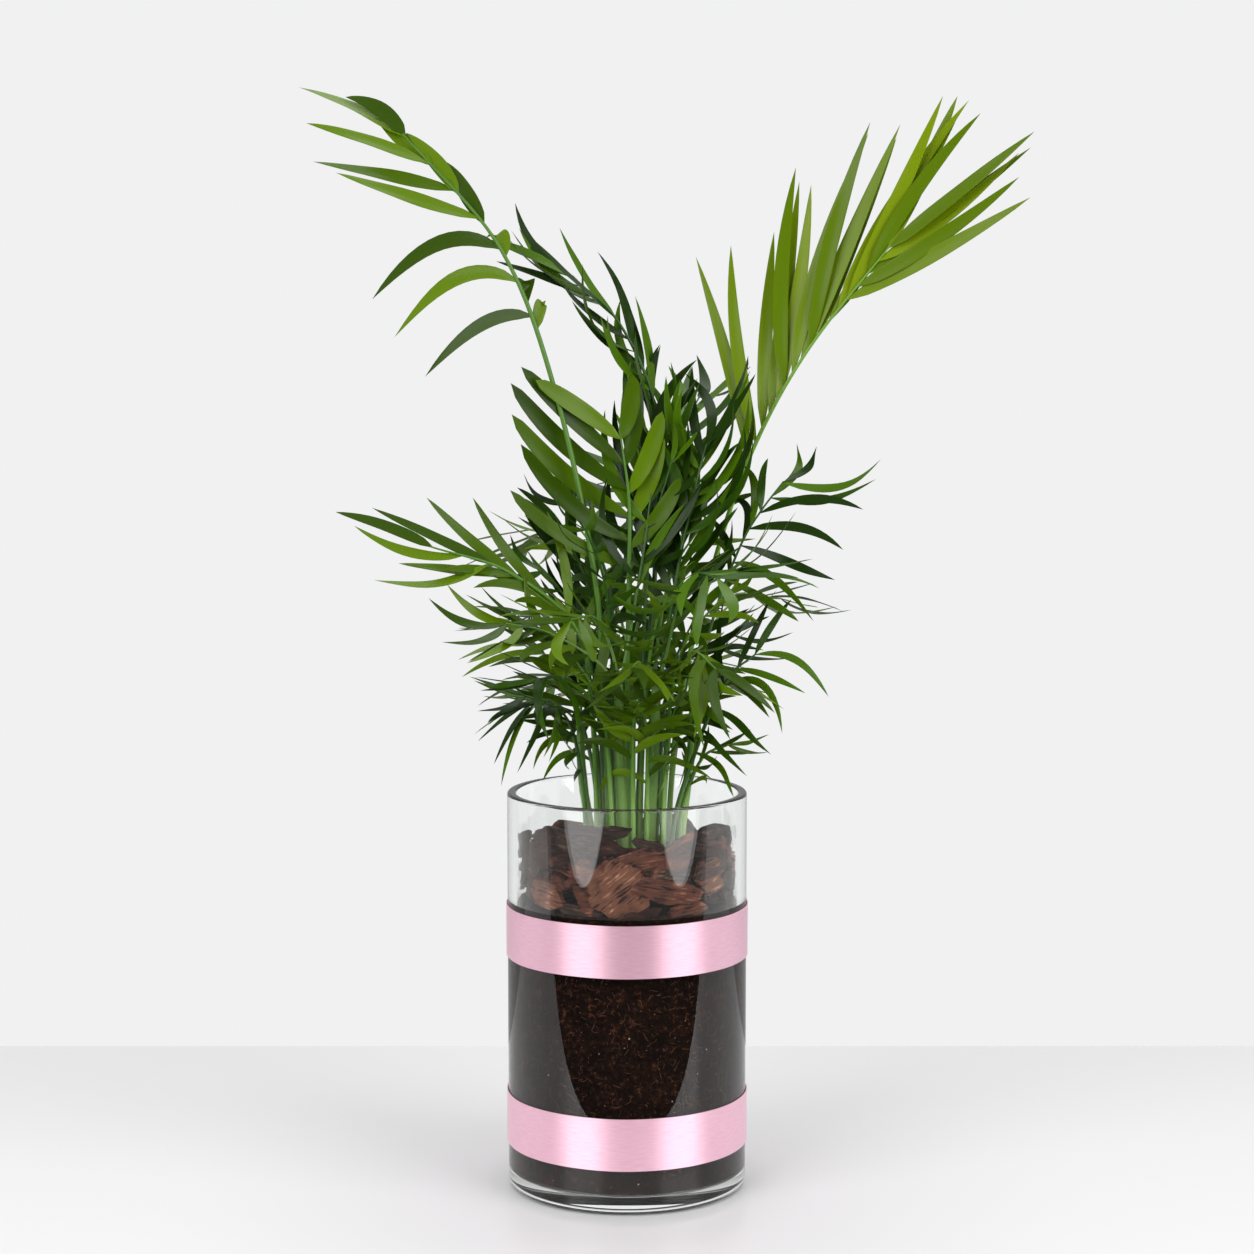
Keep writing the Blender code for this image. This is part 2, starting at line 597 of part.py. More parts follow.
def touches(tree, others):
    return any(tree.overlap(other) for other in others)


def tree_of_object(obj):
    return BVHTree.FromObject(obj, bpy.context.evaluated_depsgraph_get())


def grow_leaflets(number, frond, frame, others):
    # Every leaflet that fits, each by the first change that keeps it clear
    long_leaves = frond["length"] * MM >= LONG_LEAF
    stations = np.append(LEAF_STATIONS if long_leaves else SHORT_LEAF_STATIONS, 1.0)
    outer = np.append(np.linspace(0.22, 0.85, 4), 1.0)
    grown = []
    own = []
    for pair in range(frond["pairs"]):
        for sign in (1, -1):
            if pair < frond["start"][sign < 0] * (frond["pairs"] - 1):
                continue
            for change in CHANGES:
                leaf = leaflet(frond, frame, number, pair, sign, change, stations)
                if touches(tree_of(blade_shape(leaf, ENVELOPE)), others):
                    continue
                beyond_root = leaflet(frond, frame, number, pair, sign, change, outer)
                free_part = tree_of(blade_shape(beyond_root))
                if touches(free_part, own):
                    continue
                own.append(free_part)
                grown.append(blade_shape(leaf))
                break
    return grown


def make_fronds(materials, plant, solid_trees):
    frames = {name: frond_frame(frond) for name, frond in FRONDS.items()}
    ribs = {name: tree_of(rib_shape(frond, frames[name])) for name, frond in FRONDS.items()}
    for name, frond in FRONDS.items():
        wide = tree_of(rib_shape(frond, frames[name], ENVELOPE))
        for other in ribs:
            if other > name and wide.overlap(ribs[other]):
                print("ribs touch:", name, other)
        if touches(wide, solid_trees):
            print("rib touches a cane or the vase:", name)
    blades = {name: [] for name in FRONDS}
    for number, (name, frond) in enumerate(FRONDS.items()):
        others = list(solid_trees) + [ribs[other] for other in FRONDS if other != name]
        for other in FRONDS:
            if other != name:
                others += blades[other]
        grown = grow_leaflets(number, frond, frames[name], others)
        blades[name] = [tree_of(shape) for shape in grown]
        material = materials["leaf_" + frond["tone"]]
        rib = add_object(name, *rib_shape(frond, frames[name]), material, plant)
        pieces = bpy.data.collections.new("leaflets")
        bpy.context.scene.collection.children.link(pieces)
        for index, shape in enumerate(grown):
            add_object(f"leaflet_{index}", *shape, material, pieces)
        fuse(rib, pieces)
        print(f"{name}: {len(grown)} of {2 * frond['pairs']} leaflets")


def main():
    for obj in list(bpy.data.objects):
        bpy.data.objects.remove(obj)
    materials = make_materials()
    plant = bpy.data.collections.new("parlour_palm")
    bpy.context.scene.collection.children.link(plant)
    vase = turned("vase", vase_profile(), VASE_STEPS, materials["glass"], plant)
    turned("soil", soil_profile(), VASE_STEPS, materials["soil"], plant)
    for name, bottom in RIBBON_BOTTOMS.items():
        turned(name, ribbon_profile(bottom), RIBBON_STEPS, materials["satin"], plant)
    bark = make_bark(materials["bark"], plant)
    canes = [make_cane(name, cane, materials["cane"], plant) for name, cane in CANES.items()]
    bpy.context.view_layer.update()
    make_fronds(materials, plant, [tree_of_object(obj) for obj in [vase, bark] + canes])
    for obj in plant.objects:
        if obj.type == "MESH":
            obj.data.shade_smooth()
            obj.data.set_sharp_from_angle(angle=math.radians(35))


main()
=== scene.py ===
import math

import bpy
import numpy as np
from mathutils.bvhtree import BVHTree
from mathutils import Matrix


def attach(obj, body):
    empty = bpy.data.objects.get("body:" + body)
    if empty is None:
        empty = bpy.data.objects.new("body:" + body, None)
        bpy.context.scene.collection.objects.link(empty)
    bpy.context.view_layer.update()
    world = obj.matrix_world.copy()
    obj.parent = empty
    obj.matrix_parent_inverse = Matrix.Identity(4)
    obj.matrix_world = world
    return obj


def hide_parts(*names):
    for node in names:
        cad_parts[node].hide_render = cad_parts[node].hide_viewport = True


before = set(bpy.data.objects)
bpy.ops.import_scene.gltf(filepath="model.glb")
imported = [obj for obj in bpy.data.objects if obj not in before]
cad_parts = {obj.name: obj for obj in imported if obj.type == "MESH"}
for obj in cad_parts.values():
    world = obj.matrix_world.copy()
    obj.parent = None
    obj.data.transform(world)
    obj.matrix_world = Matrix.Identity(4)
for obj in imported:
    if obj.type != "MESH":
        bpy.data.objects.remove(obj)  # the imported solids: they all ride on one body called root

# Parlour palm (Chamaedorea elegans) in a glass cylinder vase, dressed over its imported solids.
# The fronds grow by the rule that the solids were grown by, written again here with finer
# leaflets. Everything is in metres in the solids' frame: +Z up, -Y towards the photograph.

mm = 0.001
cm = 10 * mm
fullTurn = 2 * math.pi
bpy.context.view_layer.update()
print("frame loaded,", len(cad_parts), "nodes")


def hexToLinear(hexColour):
    # sRGB hex to linear: a straight line near black, a power of 2.4 above it
    parts = [int(hexColour[i:i + 2], 16) / 255 for i in (1, 3, 5)]
    return [p / 12.92 if p <= 0.04045 else ((p + 0.055) / 1.055) ** 2.4 for p in parts] + [1.0]


def addNode(tree, kind, settings=None, sockets=None):
    # one node: settings are its properties, sockets take a value or another node's output
    node = tree.nodes.new(kind)
    for name, value in (settings or {}).items():
        setattr(node, name, value)
    for name, value in (sockets or {}).items():
        if isinstance(value, bpy.types.NodeSocket):
            tree.links.new(value, node.inputs[name])
        else:
            node.inputs[name].default_value = value
    return node


def newMaterial(name, colour, sockets):
    # a Principled material with its plain values on its own sockets
    material = bpy.data.materials.new(name)
    material.use_nodes = True
    shader = material.node_tree.nodes["Principled BSDF"]
    shader.inputs["Base Color"].default_value = hexToLinear(colour)
    for socket, value in sockets.items():
        shader.inputs[socket].default_value = value
    material.diffuse_color = hexToLinear(colour)
    return material


def combine(tree, operation, *values):
    # a maths node's result
    return addNode(tree, "ShaderNodeMath", {"operation": operation}, dict(enumerate(values))).outputs["Value"]


def onSurface(tree):
    # the place across and along a piece's surface, in centimetres
    return addNode(tree, "ShaderNodeUVMap", {"uv_map": "surface"}).outputs["UV"]


def noise(tree, place, scale, detail, roughness=0.5, distortion=0.0, stretch=None):
    # a cloudy pattern over a place, which may be stretched first
    if stretch:
        mapping = addNode(tree, "ShaderNodeMapping", None, {"Vector": place, "Scale": stretch})
        place = mapping.outputs["Vector"]
    return addNode(tree, "ShaderNodeTexNoise", None, {
        "Vector": place, "Scale": scale, "Detail": detail, "Roughness": roughness,
        "Distortion": distortion,
    }).outputs["Fac"]


def paint(tree, factor, stops):
    # the base colour, by a ramp of pairs of position and hex colour
    ramp = addNode(tree, "ShaderNodeValToRGB", None, {"Fac": factor})
    elements = ramp.color_ramp.elements
    while len(elements) < len(stops):
        elements.new(0.5)
    for element, (position, colour) in zip(elements, stops):
        element.position = position
        element.color = hexToLinear(colour)
    tree.links.new(ramp.outputs["Color"], tree.nodes["Principled BSDF"].inputs["Base Color"])


def emboss(tree, height, strength, distance):
    # the relief, by a bump
    bump = addNode(tree, "ShaderNodeBump", None,
                   {"Height": height, "Strength": strength, "Distance": distance})
    tree.links.new(bump.outputs["Normal"], tree.nodes["Principled BSDF"].inputs["Normal"])


def jitter(*keys):
    # a repeatable value from -1 to 1, the same as the solids use: what stands behind the point
    # in a large multiple of a sine
    value = math.sin(sum(k * w for k, w in zip(keys, (12.9898, 78.233, 37.719)))) * 43758.5453
    return 2 * (value - math.floor(value)) - 1


def pick(settings, names):
    # several values of a dictionary at once
    return [settings[name] for name in names.split()]


def unit(vectors):
    # vectors divided by their own lengths
    return vectors / np.linalg.norm(vectors, axis=-1, keepdims=True)


def polar(out, angle, height=0.0):
    # places out from the axis, at an angle round it and a height
    return np.stack(np.broadcast_arrays(out * np.cos(angle), out * np.sin(angle), height), axis=-1)


def runLength(points):
    # the length walked along a row of points, up to each of them
    return np.concatenate(([0], np.cumsum(np.linalg.norm(np.diff(points, axis=0), axis=1))))


def gridFaces(rows, around, closedAround=True):
    # quads between neighbouring rows of a grid, going round when it is closed
    columns = np.arange(around if closedAround else around - 1)
    row, column = np.meshgrid(np.arange(rows - 1), columns, indexing="ij")
    here, there = row * around + column, row * around + (column + 1) % around
    return np.stack((here, there, there + around, here + around), axis=-1).reshape(-1, 4)


def fan(ring, middle, turned=False):
    # triangles from a ring of indices to one middle index
    after = np.roll(ring, -1)
    corners = (after, ring) if turned else (ring, after)
    return np.stack((*corners, np.full(len(ring), middle)), axis=1)


def closed(rings, ends, lastFirst=True, outwards=True):
    # rings of points joined by quads, with a fan to a middle point at either end: the last end
    # comes first in "ends" or not, and the faces may be turned over
    rows, around = rings.shape[:2]
    ring, count = np.arange(around), rows * around
    first = fan(ring, count + lastFirst, outwards)
    last = fan(ring + count - around, count + 1 - lastFirst, not outwards)
    quads = gridFaces(rows, around)
    tris = np.vstack((last, first) if lastFirst else (first, last))
    return np.vstack((rings.reshape(-1, 3), *ends)), quads if outwards else quads[:, ::-1], tris


def joined(parts):
    # many parts of points, quads, tris, uv and material number as one shape
    points, quads, tris, uvs, tones = zip(*parts)
    starts = np.cumsum([0] + [len(part) for part in points[:-1]])
    faces = [np.vstack([part + start for part, start in zip(kind, starts)]) for kind in (quads, tris)]
    index = np.concatenate([np.repeat(tones, [len(part) for part in kind]) for kind in (quads, tris)])
    return np.vstack(points), *faces, np.vstack(uvs), index


def cornersOf(mesh):
    # the vertex at each face corner
    corners = np.empty(len(mesh.loops), dtype=np.int32)
    mesh.loops.foreach_get("vertex_index", corners)
    return corners


def makePiece(name, shape, materials, slot, nodes, sharp=40):
    # a shape of points, quads, and maybe tris, uv and material numbers, to one mesh piece riding
    # on the root and standing for the named CAD nodes
    points, quads, tris, uv, index = (*shape, None, None, None)[:5]
    mesh = bpy.data.meshes.new(name)
    faces = quads.tolist() + ([] if tris is None else tris.tolist())
    mesh.from_pydata(points.reshape(-1, 3).tolist(), [], faces)
    for material in materials:
        mesh.materials.append(material)
    if uv is not None:
        layer = mesh.uv_layers.new(name="surface")
        layer.data.foreach_set("uv", uv[cornersOf(mesh)].astype(np.float32).ravel())
    if index is not None:
        mesh.polygons.foreach_set("material_index", index.astype(np.int32))
    mesh.shade_smooth()
    mesh.set_sharp_from_angle(angle=math.radians(sharp))
    mesh.update()
    piece = bpy.data.objects.new(name, mesh)
    bpy.context.scene.collection.objects.link(piece)
    if slot:
        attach(piece, "root")
    if nodes:
        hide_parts(*nodes)
    return piece


# Soda-lime glass, drawn and fire polished: clear, with mirror-smooth skins
glass = newMaterial("soda lime glass, fire polished", "#FBFDFC", {
    "Transmission Weight": 1.0, "Roughness": 0.0, "IOR": 1.52,
})


def makeSoil():
    # peat potting mix, moist and crumbled: near black, with brown crumbs 1 to 3 mm across
    material = newMaterial("peat potting mix, moist", "#20140E", {
        "Roughness": 0.92, "Specular IOR Level": 0.08,
    })
    tree = material.node_tree
    place = addNode(tree, "ShaderNodeTexCoord").outputs["Object"]
    crumbs = noise(tree, place, scale=420, detail=6, roughness=0.75)
    clods = noise(tree, place, scale=90, detail=3)
    both = combine(tree, "MULTIPLY_ADD", clods, 0.25, crumbs)
    paint(tree, both, ((0.46, "#040201"), (0.60, "#0F0704"), (0.71, "#211109"), (0.80, "#4A2E20")))
    emboss(tree, both, strength=0.9, distance=1.2 * mm)
    return material


def makeBark(name, dark, light, pale):
    # pine bark, split and dried: layers 1 to 2 mm apart run along each chip, dusty and matt. Its colour
    # follows their relief: near black in the hollows, which is painted shade, and paler on the highest ridges
    material = newMaterial("pine bark, split, " + name, light, {
        "Roughness": 0.82, "Specular IOR Level": 0.12,
    })
    tree = material.node_tree
    place = onSurface(tree)
    layers = noise(tree, place, scale=1.6, detail=7, roughness=0.66, distortion=0.5, stretch=(0.7, 5.5, 1))
    patches = noise(tree, place, scale=1.3, detail=4)
    both = combine(tree, "MULTIPLY_ADD", patches, 0.5, layers)
    # near black where the layers' relief is lowest: painted shade in the hollows
    paint(tree, both, ((0.63, dark), (0.71, light), (0.83, light), (0.94, pale)))
    emboss(tree, layers, strength=1.0, distance=1.6 * mm)
    return material


def makeSatin():
    # polyester ribbon in a satin weave, 0.15 mm threads: soft bands of sheen down its width,
    # since its long threads spread a highlight crosswise. They are drawn 0.5 mm apart.
    material = newMaterial("polyester satin ribbon, woven", "#F2B4CA", {
        "Roughness": 0.42, "Metallic": 0.40, "Anisotropic": 0.90, "Anisotropic Rotation": 0.25,
        "Sheen Weight": 0.2, "Sheen Roughness": 0.4, "Specular IOR Level": 1.0, "IOR": 2.0,
    })
    tree = material.node_tree
    along = addNode(tree, "ShaderNodeTangent", {"direction_type": "UV_MAP", "uv_map": "surface"})
    tree.links.new(along.outputs["Tangent"], tree.nodes["Principled BSDF"].inputs["Tangent"])
    weave = noise(tree, onSurface(tree), scale=1, detail=2, stretch=(1.5, 20, 1))
    paint(tree, weave, ((0.35, "#F3B6CE"), (0.65, "#F9C6D9")))
    emboss(tree, weave, strength=0.06, distance=0.3 * mm)
    return material


def makeStalk(name, low, high, roughness=0.38):
    # living palm stalk, grown smooth: fine fibres run along it and it pales towards its foot
    material = newMaterial(name, high, {"Roughness": roughness})
    tree = material.node_tree
    place = onSurface(tree)
    streaks = noise(tree, place, scale=1, detail=3, stretch=(9, 0.35, 1))
    split = addNode(tree, "ShaderNodeSeparateXYZ", None, {"Vector": place})
    rise = addNode(tree, "ShaderNodeMapRange", None, {"Value": split.outputs["Y"], "From Max": 9.0})
    shade = combine(tree, "MULTIPLY_ADD", streaks, 0.45, rise.outputs["Result"])
    paint(tree, shade, ((0.15, low), (0.95, high)))
    emboss(tree, streaks, strength=0.25, distance=0.4 * mm)
    return material


def makeLeaf(name, colour):
    # living palm leaf, smooth and waxy: a plain colour, with veins along the blade, 1 mm apart
    # but drawn 1.7 mm
    material = newMaterial("palm leaf, " + name, colour, {"Roughness": 0.30, "Specular IOR Level": 0.2})
    tree = material.node_tree
    veins = noise(tree, onSurface(tree), scale=1, detail=2, stretch=(6, 0.2, 1))
    emboss(tree, veins, strength=0.22, distance=0.4 * mm)
    return material


soilMaterial = makeSoil()
# each bark's first colour is the painted shade in its hollows, then its own brown and its paler ridges
barkMaterials = [
    makeBark("red brown", "#0F0603", "#512D21", "#8C5B44"),
    makeBark("light brown", "#180B06", "#643E2E", "#A1765D"),
    makeBark("dark brown", "#080302", "#2D1710", "#5C3A2C"),
    makeBark("grey brown", "#0A0504", "#33231C", "#665045"),
]
satin = makeSatin()
caneMaterial = makeStalk("palm cane, green", "#9DB670", "#5F8A34", roughness=0.42)
stalkTonesAndShade = {  # older stalks are darker, and the darker greens also stand for the shade among the crowded stems: partly painted shade
    "dark": makeStalk("palm leaf stalk, dark green and painted shade", "#6E9446", "#2C5414"),
    "mid": makeStalk("palm leaf stalk, green", "#94B366", "#4F7C20"),
    "young": makeStalk("palm leaf stalk, young green", "#A8C27C", "#6C9A2C"),
}
leafColours = {  # three plain greens for each kind of frond, dealt out leaflet by leaflet
    "dark": ("#1B3402", "#2D4D03", "#466904"),
    "mid": ("#324C02", "#466304", "#5B7906"),
    "young": ("#5A7604", "#688205", "#78900A"),
}
leafTones = {tone: [makeLeaf(f"{tone} {letter}", colour) for letter, colour in zip("abc", colours)]
             for tone, colours in leafColours.items()}
print("materials made")


# The rule the fronds grow by, in mm and degrees as in the solids. A foot is an x, y on the soil or
# a cane and the slot on its top. Pairs of values are for the +side and the -side leaflets.
canes = {
    "cane_front": dict(foot=(-2, -20), top=(-4, -24, 250), radius=2.75, firstSlot=170),
    "cane_left": dict(foot=(-16, -6), top=(-23, -9, 228), radius=2.4, firstSlot=200),
    "cane_right_front": dict(foot=(11, -17), top=(14, -22, 248), radius=2.5, firstSlot=330),
    "cane_right": dict(foot=(26, 0), top=(33, 0, 246), radius=2.4, firstSlot=350),
    "cane_back": dict(foot=(2, 18), top=(2, 25, 262), radius=2.5, firstSlot=90),
}
frondDefaults = dict(
    roll=0, pairs=7, width=7, spread=(62, 62), reach=(1, 1), droop=(0.28, 0.28), start=(0, 0),
    close=0.4, tip=1.0, limp=0.0, hang=None, bunch=1.0, fold=12, blunt=0.0, tone="dark",
    slim=0.80,  # how much narrower the fine leaflets are than the solids'
    curl=2.6, more=1,  # how strongly they bend, and the step from pair to pair of those added
)


def ruled(heading, neck, foot, *path, **others):
    # one frond's rule: its heading, the share of its rib without leaflets, its foot and what its
    # rib runs through, then what differs from the usual
    return {**frondDefaults, "heading": heading, "neck": neck, "foot": foot, "path": path, **others}


fronds = {
    "frond_tall_left": ruled(180, 0.71, (-8, -10), (-11, -12, 240), (-16, -16, 310), (-35, -22, 400),
        (-61, -24, 468), (-108, -20, 523), roll=62, length=70, width=9, spread=(30, 50), reach=(0.6, 1),
        droop=(0.3, 0.35), limp=2.4, hang=0.42, close=0.15, tip=1.06, fold=10, slim=0.9, curl=1,
        tone="mid"),
    "frond_left_arch": ruled(180, 0.68, (4, 4), (8, 5, 240), (14, 6, 310), (15, 6, 384), (-2, 3, 430),
        (-27, 1, 456), roll=30, pairs=8, length=58, width=8, spread=(13, 13), reach=(0.9, 1),
        droop=(0.1, 0.14), limp=1.2, close=0.6, fold=14, slim=0.78, more=0.5),
    "frond_young_right": ruled(0, 0.62, (20, 6), (26, 8, 240), (46, 10, 322), (64, 10, 373), (90, 8, 420),
        (130, 6, 471), roll=-72, pairs=9, length=113, width=10, spread=(140, 46), reach=(0.82, 1),
        droop=(0, 0.05), start=(0.7, 0), close=0.06, bunch=0.4, fold=6, curl=0.6, more=0.5, tone="young"),
    "frond_broad": ruled(180, 0.7, (0, -8), (0, -10, 240), (1, -12, 310), (1, -13, 346), (-3, -14, 377),
        roll=84, pairs=6, length=80, width=11, spread=(26, 52), reach=(0.62, 1), droop=(0.05, 0.05),
        close=0.82, tip=0.75, fold=8, blunt=0.8, curl=1.2, tone="mid"),
    "frond_left_mid": ruled(190, 0.58, (-14, -16), (-17, -20, 240), (-25, -24, 284), (-57, -31, 312),
        (-95, -37, 325), roll=56, length=60, width=7.5, spread=(50, 32), reach=(1, 0.9),
        droop=(0.16, 0.3), close=0.08, tip=0.95, bunch=0.55, blunt=0.2, more=0, tone="mid"),
    "frond_right_mid": ruled(345, 0.52, ("cane_right", 0), (44, -9, 292), (56, -18, 325), (65, -23, 341),
        (76, -27, 356), roll=-58, length=70, width=6, spread=(56, 54), reach=(1, 0.6), droop=(0.36, 0.38),
        limp=0.8, close=0.45, fold=14),
    "frond_centre_right": ruled(0, 0.6, (12, -4), (15, -6, 240), (24, -9, 305), (31, -12, 341),
        (39, -11, 374), roll=-62, pairs=8, length=60, width=9, spread=(36, 40), reach=(1, 0.9),
        droop=(0.1, 0.1), fold=16, slim=0.64, more=0.5),
    "frond_centre_up": ruled(20, 0.42, ("cane_front", 2), (3, -19, 290), (10, -12, 334), (14, -4, 374),
        roll=-66, length=58, width=9, spread=(26, 28), droop=(0.04, 0.06), slim=0.64, more=0.5),
    "frond_low_right": ruled(340, 0.54, (21, -13), (24, -14, 190), (39, -19, 237), (50, -23, 260),
        (63, -28, 272), roll=-55, pairs=6, length=50, width=5, spread=(62, 60), reach=(1, 0.9),
        droop=(0.56, 0.2), limp=0.4, close=0.5, fold=16),
    "frond_left_low": ruled(200, 0.34, ("cane_front", 0), (-16, -33, 270), (-38, -43, 284),
        (-58, -50, 289), roll=30, length=42, spread=(56, 58), droop=(0.1, 0.3), tone="mid"),
    "frond_droop_left": ruled(205, 0.36, ("cane_left", 0), (-29, -13, 241), (-38, -19, 248),
        (-47, -23, 247), roll=8, pairs=6, length=34, width=4.5, spread=(60, 60), droop=(0.75, 0.85),
        close=0.55, fold=10),
    "frond_front_right": ruled(290, 0.46, ("cane_right_front", 0), (20, -33, 276), (25, -48, 300),
        (32, -68, 314), (42, -90, 314), roll=-18, length=62, spread=(70, 64), reach=(0.9, 1),
        droop=(0.26, 0.24), close=0.36),
    "frond_front": ruled(250, 0.4, ("cane_front", 1), (-8, -36, 276), (-15, -54, 292), (-26, -82, 294),
        roll=20, length=50, width=6.5, spread=(64, 66), droop=(0.26, 0.3), close=0.36, blunt=0.2,
        tone="mid"),
    "frond_low_front": ruled(266, 0.36, ("cane_right_front", 2), (9, -32, 259), (6, -48, 270),
        (2, -72, 270), pairs=6, length=38, width=6, spread=(64, 64), droop=(0.4, 0.4), tone="mid"),
    "frond_low_front_left": ruled(244, 0.38, ("cane_left", 1), (-25, -20, 246), (-32, -42, 262),
        (-42, -66, 264), roll=14, pairs=6, length=40, width=5.5, spread=(64, 64), droop=(0.44, 0.5)),
    "frond_bright_low": ruled(306, 0.42, ("cane_right", 2), (31, -8, 262), (33, -24, 273), (43, -42, 266),
        roll=-14, pairs=5, length=44, spread=(54, 60), reach=(1, 0.9), droop=(0.55, 0.45), tone="mid"),
    "frond_right_back": ruled(34, 0.42, ("cane_right", 1), (40, 18, 276), (57, 36, 293), (80, 52, 292),
        length=40, tone="mid"),
    "frond_back": ruled(88, 0.42, ("cane_back", 0), (2, 46, 318), (4, 80, 352), (6, 122, 354), pairs=9,
        length=58, width=9, droop=(0.24, 0.24)),
    "frond_back_left": ruled(126, 0.4, ("cane_back", 1), (-9, 38, 300), (-26, 66, 328), (-48, 96, 322),
        pairs=8, length=52, width=8, tone="mid"),
    "frond_back_right": ruled(62, 0.44, ("cane_back", 2), (13, 34, 322), (24, 50, 370), (38, 78, 396),
        pairs=8, length=52, width=8, spread=(54, 54), droop=(0.16, 0.16), fold=16),
    "frond_side_left": ruled(140, 0.42, ("cane_left", 2), (-25, 4, 258), (-38, 22, 282), (-56, 42, 284),
        length=40),
    "frond_centre_left": ruled(160, 0.52, (-6, 8), (-9, 12, 236), (-14, 17, 276), (-21, 21, 304),
        (-30, 22, 326), roll=40, length=44, width=8, spread=(54, 50), droop=(0.12, 0.12), slim=0.64,
        more=0.5),
    "frond_low_back_right": ruled(58, 0.52, (12, 20), (16, 27, 226), (29, 54, 258), (46, 82, 254),
        length=42, droop=(0.36, 0.36), tone="mid"),
    "frond_low_back_left": ruled(122, 0.52, (-12, 16), (-16, 24, 222), (-29, 50, 250), (-46, 78, 246),
        length=42, droop=(0.36, 0.36)),
    "frond_inner_left": ruled(190, 0.6, (-6, -26), (-9, -28, 220), (-14, -29, 250), (-27, -31, 272),
        roll=55, pairs=6, length=40, spread=(58, 56), droop=(0.16, 0.3), tone="mid"),
    "frond_inner_right": ruled(10, 0.6, (14, 6), (17, 6, 220), (22, 8, 258), (34, 12, 286), roll=-60,
        pairs=6, length=42, spread=(56, 58), droop=(0.3, 0.16)),
    "frond_inner_front": ruled(282, 0.6, (3, -28), (3, -32, 214), (4, -40, 244), (8, -56, 258), roll=20,
        pairs=6, length=36, spread=(60, 60), tone="mid"),
    "frond_inner_back": ruled(80, 0.58, (-7, 22), (-8, 25, 226), (-6, 36, 282), (0, 54, 312), length=46,
        width=8),
    "frond_rim_right": ruled(335, 0.62, (25, -7), (27, -8, 190), (37, -14, 218), (50, -20, 226), roll=-40,
        pairs=4, length=28, width=4, spread=(44, 50), droop=(0.34, 0.4), tone="mid"),
}

# What a leaflet may have tried in turn to keep clear: spread, droop, fold, share of length
changes = (
    (0, 0.0, 0, 1.0),
    (7, 0.0, 9, 1.0),
    (-7, 0.0, -9, 1.0),
    (3, 0.14, 14, 1.0),
    (-3, -0.12, -14, 1.0),
    (13, 0.10, -18, 0.95),
    (-12, -0.08, 20, 0.95),
    (5, 0.26, 4, 0.85),
    (0, -0.10, 26, 0.8),
    (0, 0.10, -26, 0.7),
)

growth = {  # the solids' own sizes and rule, which the finer pieces start from
    "soilTop": 150 * mm, "gap": 0.3 * mm, "slotRadius": 1.25 * mm, "caneTaper": 0.88, "caneSwell": 1.12,
    "stalkRadius": 1.5 * mm, "caneStalkRadius": 0.88 * mm, "neckShare": 0.78, "tipRadius": 0.42 * mm,
    "samples": 61, "sweep": 0.25, "rootShare": 0.08, "firstPair": 0.015, "pairRun": 0.97,
    "stagger": 0.4, "endWidth": 1.2, "hangEdge": 30, "rise": 6 * mm, "curveSteps": 24,
    "chance": (5, 7, 0.3, 0.09),  # of spread and fold in degrees, of droop and length in shares
}
leafShape = {
    "stations": 15, "columns": (-1, -0.55, 0, 0.55, 1, 0.55, 0, -0.55), "under": (0, 0, 0, 0, 0, 1, 1, 1),
    "pleat": 0.20, "twist": 24, "wave": 0.07, "waves": 1.7, "thickness": 0.32 * mm, "arch": (0.045, 0.035),
    "bow": 0.05, "sameTip": 0.15 * mm, "clearance": 0.2 * mm, "tested": (0.12, 1, 8),
}
stalkShape = {
    "around": 12, "groove": 0.16, "grooveAt": 1.5 * math.pi, "grooveWidth": 0.5, "foot": 0.35,
    "footRun": 0.06,
}


def smoothPath(points, count):
    # a Catmull-Rom curve through the points, read at evenly spaced lengths
    points = np.array(points, float)
    ends = np.vstack((2 * points[0] - points[1], points, 2 * points[-1] - points[-2]))
    t = np.linspace(0, 1, growth["curveSteps"], endpoint=False)[:, None]
    spans = []
    for a, b, c, d in zip(ends, ends[1:], ends[2:], ends[3:]):
        square = 2 * a - 5 * b + 4 * c - d
        cube = 3 * b - a - 3 * c + d
        spans.append(0.5 * (2 * b + (c - a) * t + square * t**2 + cube * t**3))
    fine = np.vstack(spans + [points[-1:]])
    length = runLength(fine)
    wanted = np.linspace(0, length[-1], count)
    return np.stack([np.interp(wanted, length, fine[:, k]) for k in range(3)], axis=1)


def onSoil(limb):
    # where a limb's foot rests on the soil
    return np.array((*limb["foot"], 0)) * mm + (0, 0, growth["soilTop"] + growth["gap"])


def onCane(frond):
    # whether a frond springs from the top of a cane
    return isinstance(frond["foot"][0], str)


def frondFoot(frond):
    # on the soil, or in one of three slots 120 degrees apart round the top of a cane
    if not onCane(frond):
        return onSoil(frond)
    name, slot = frond["foot"]
    bearing = math.radians(canes[name]["firstSlot"] + 120 * slot)
    return np.array(canes[name]["top"]) * mm + polar(growth["slotRadius"], bearing, growth["gap"])


def withRib(frond, number):
    # a frond with its rib's centre, direction, side and face: the side is level, turned by roll
    foot = frondFoot(frond)
    rise = foot + (0, 0, growth["rise"])
    centre = smoothPath(np.vstack((foot, rise, np.array(frond["path"]) * mm)), growth["samples"])
    along = unit(np.gradient(centre, axis=0))
    along[0] = (0, 0, 1)
    heading = math.radians(frond["heading"])
    level = np.array((math.sin(heading), -math.cos(heading), 0))
    side = unit(level - along * (along @ level)[:, None])
    roll = math.radians(frond["roll"])
    side = math.cos(roll) * side + math.sin(roll) * np.cross(side, along)
    rib = dict(centre=centre, along=along, side=side, face=np.cross(side, along))
    return {**frond, **rib, "number": number}


def ribRadius(frond, share):
    # a rib narrows evenly up to its first leaflets, and again from there to its tip
    start = growth["caneStalkRadius" if onCane(frond) else "stalkRadius"]
    radii = (start, start * growth["neckShare"], growth["tipRadius"])
    return np.interp(share, (0, frond["neck"], 1), radii)


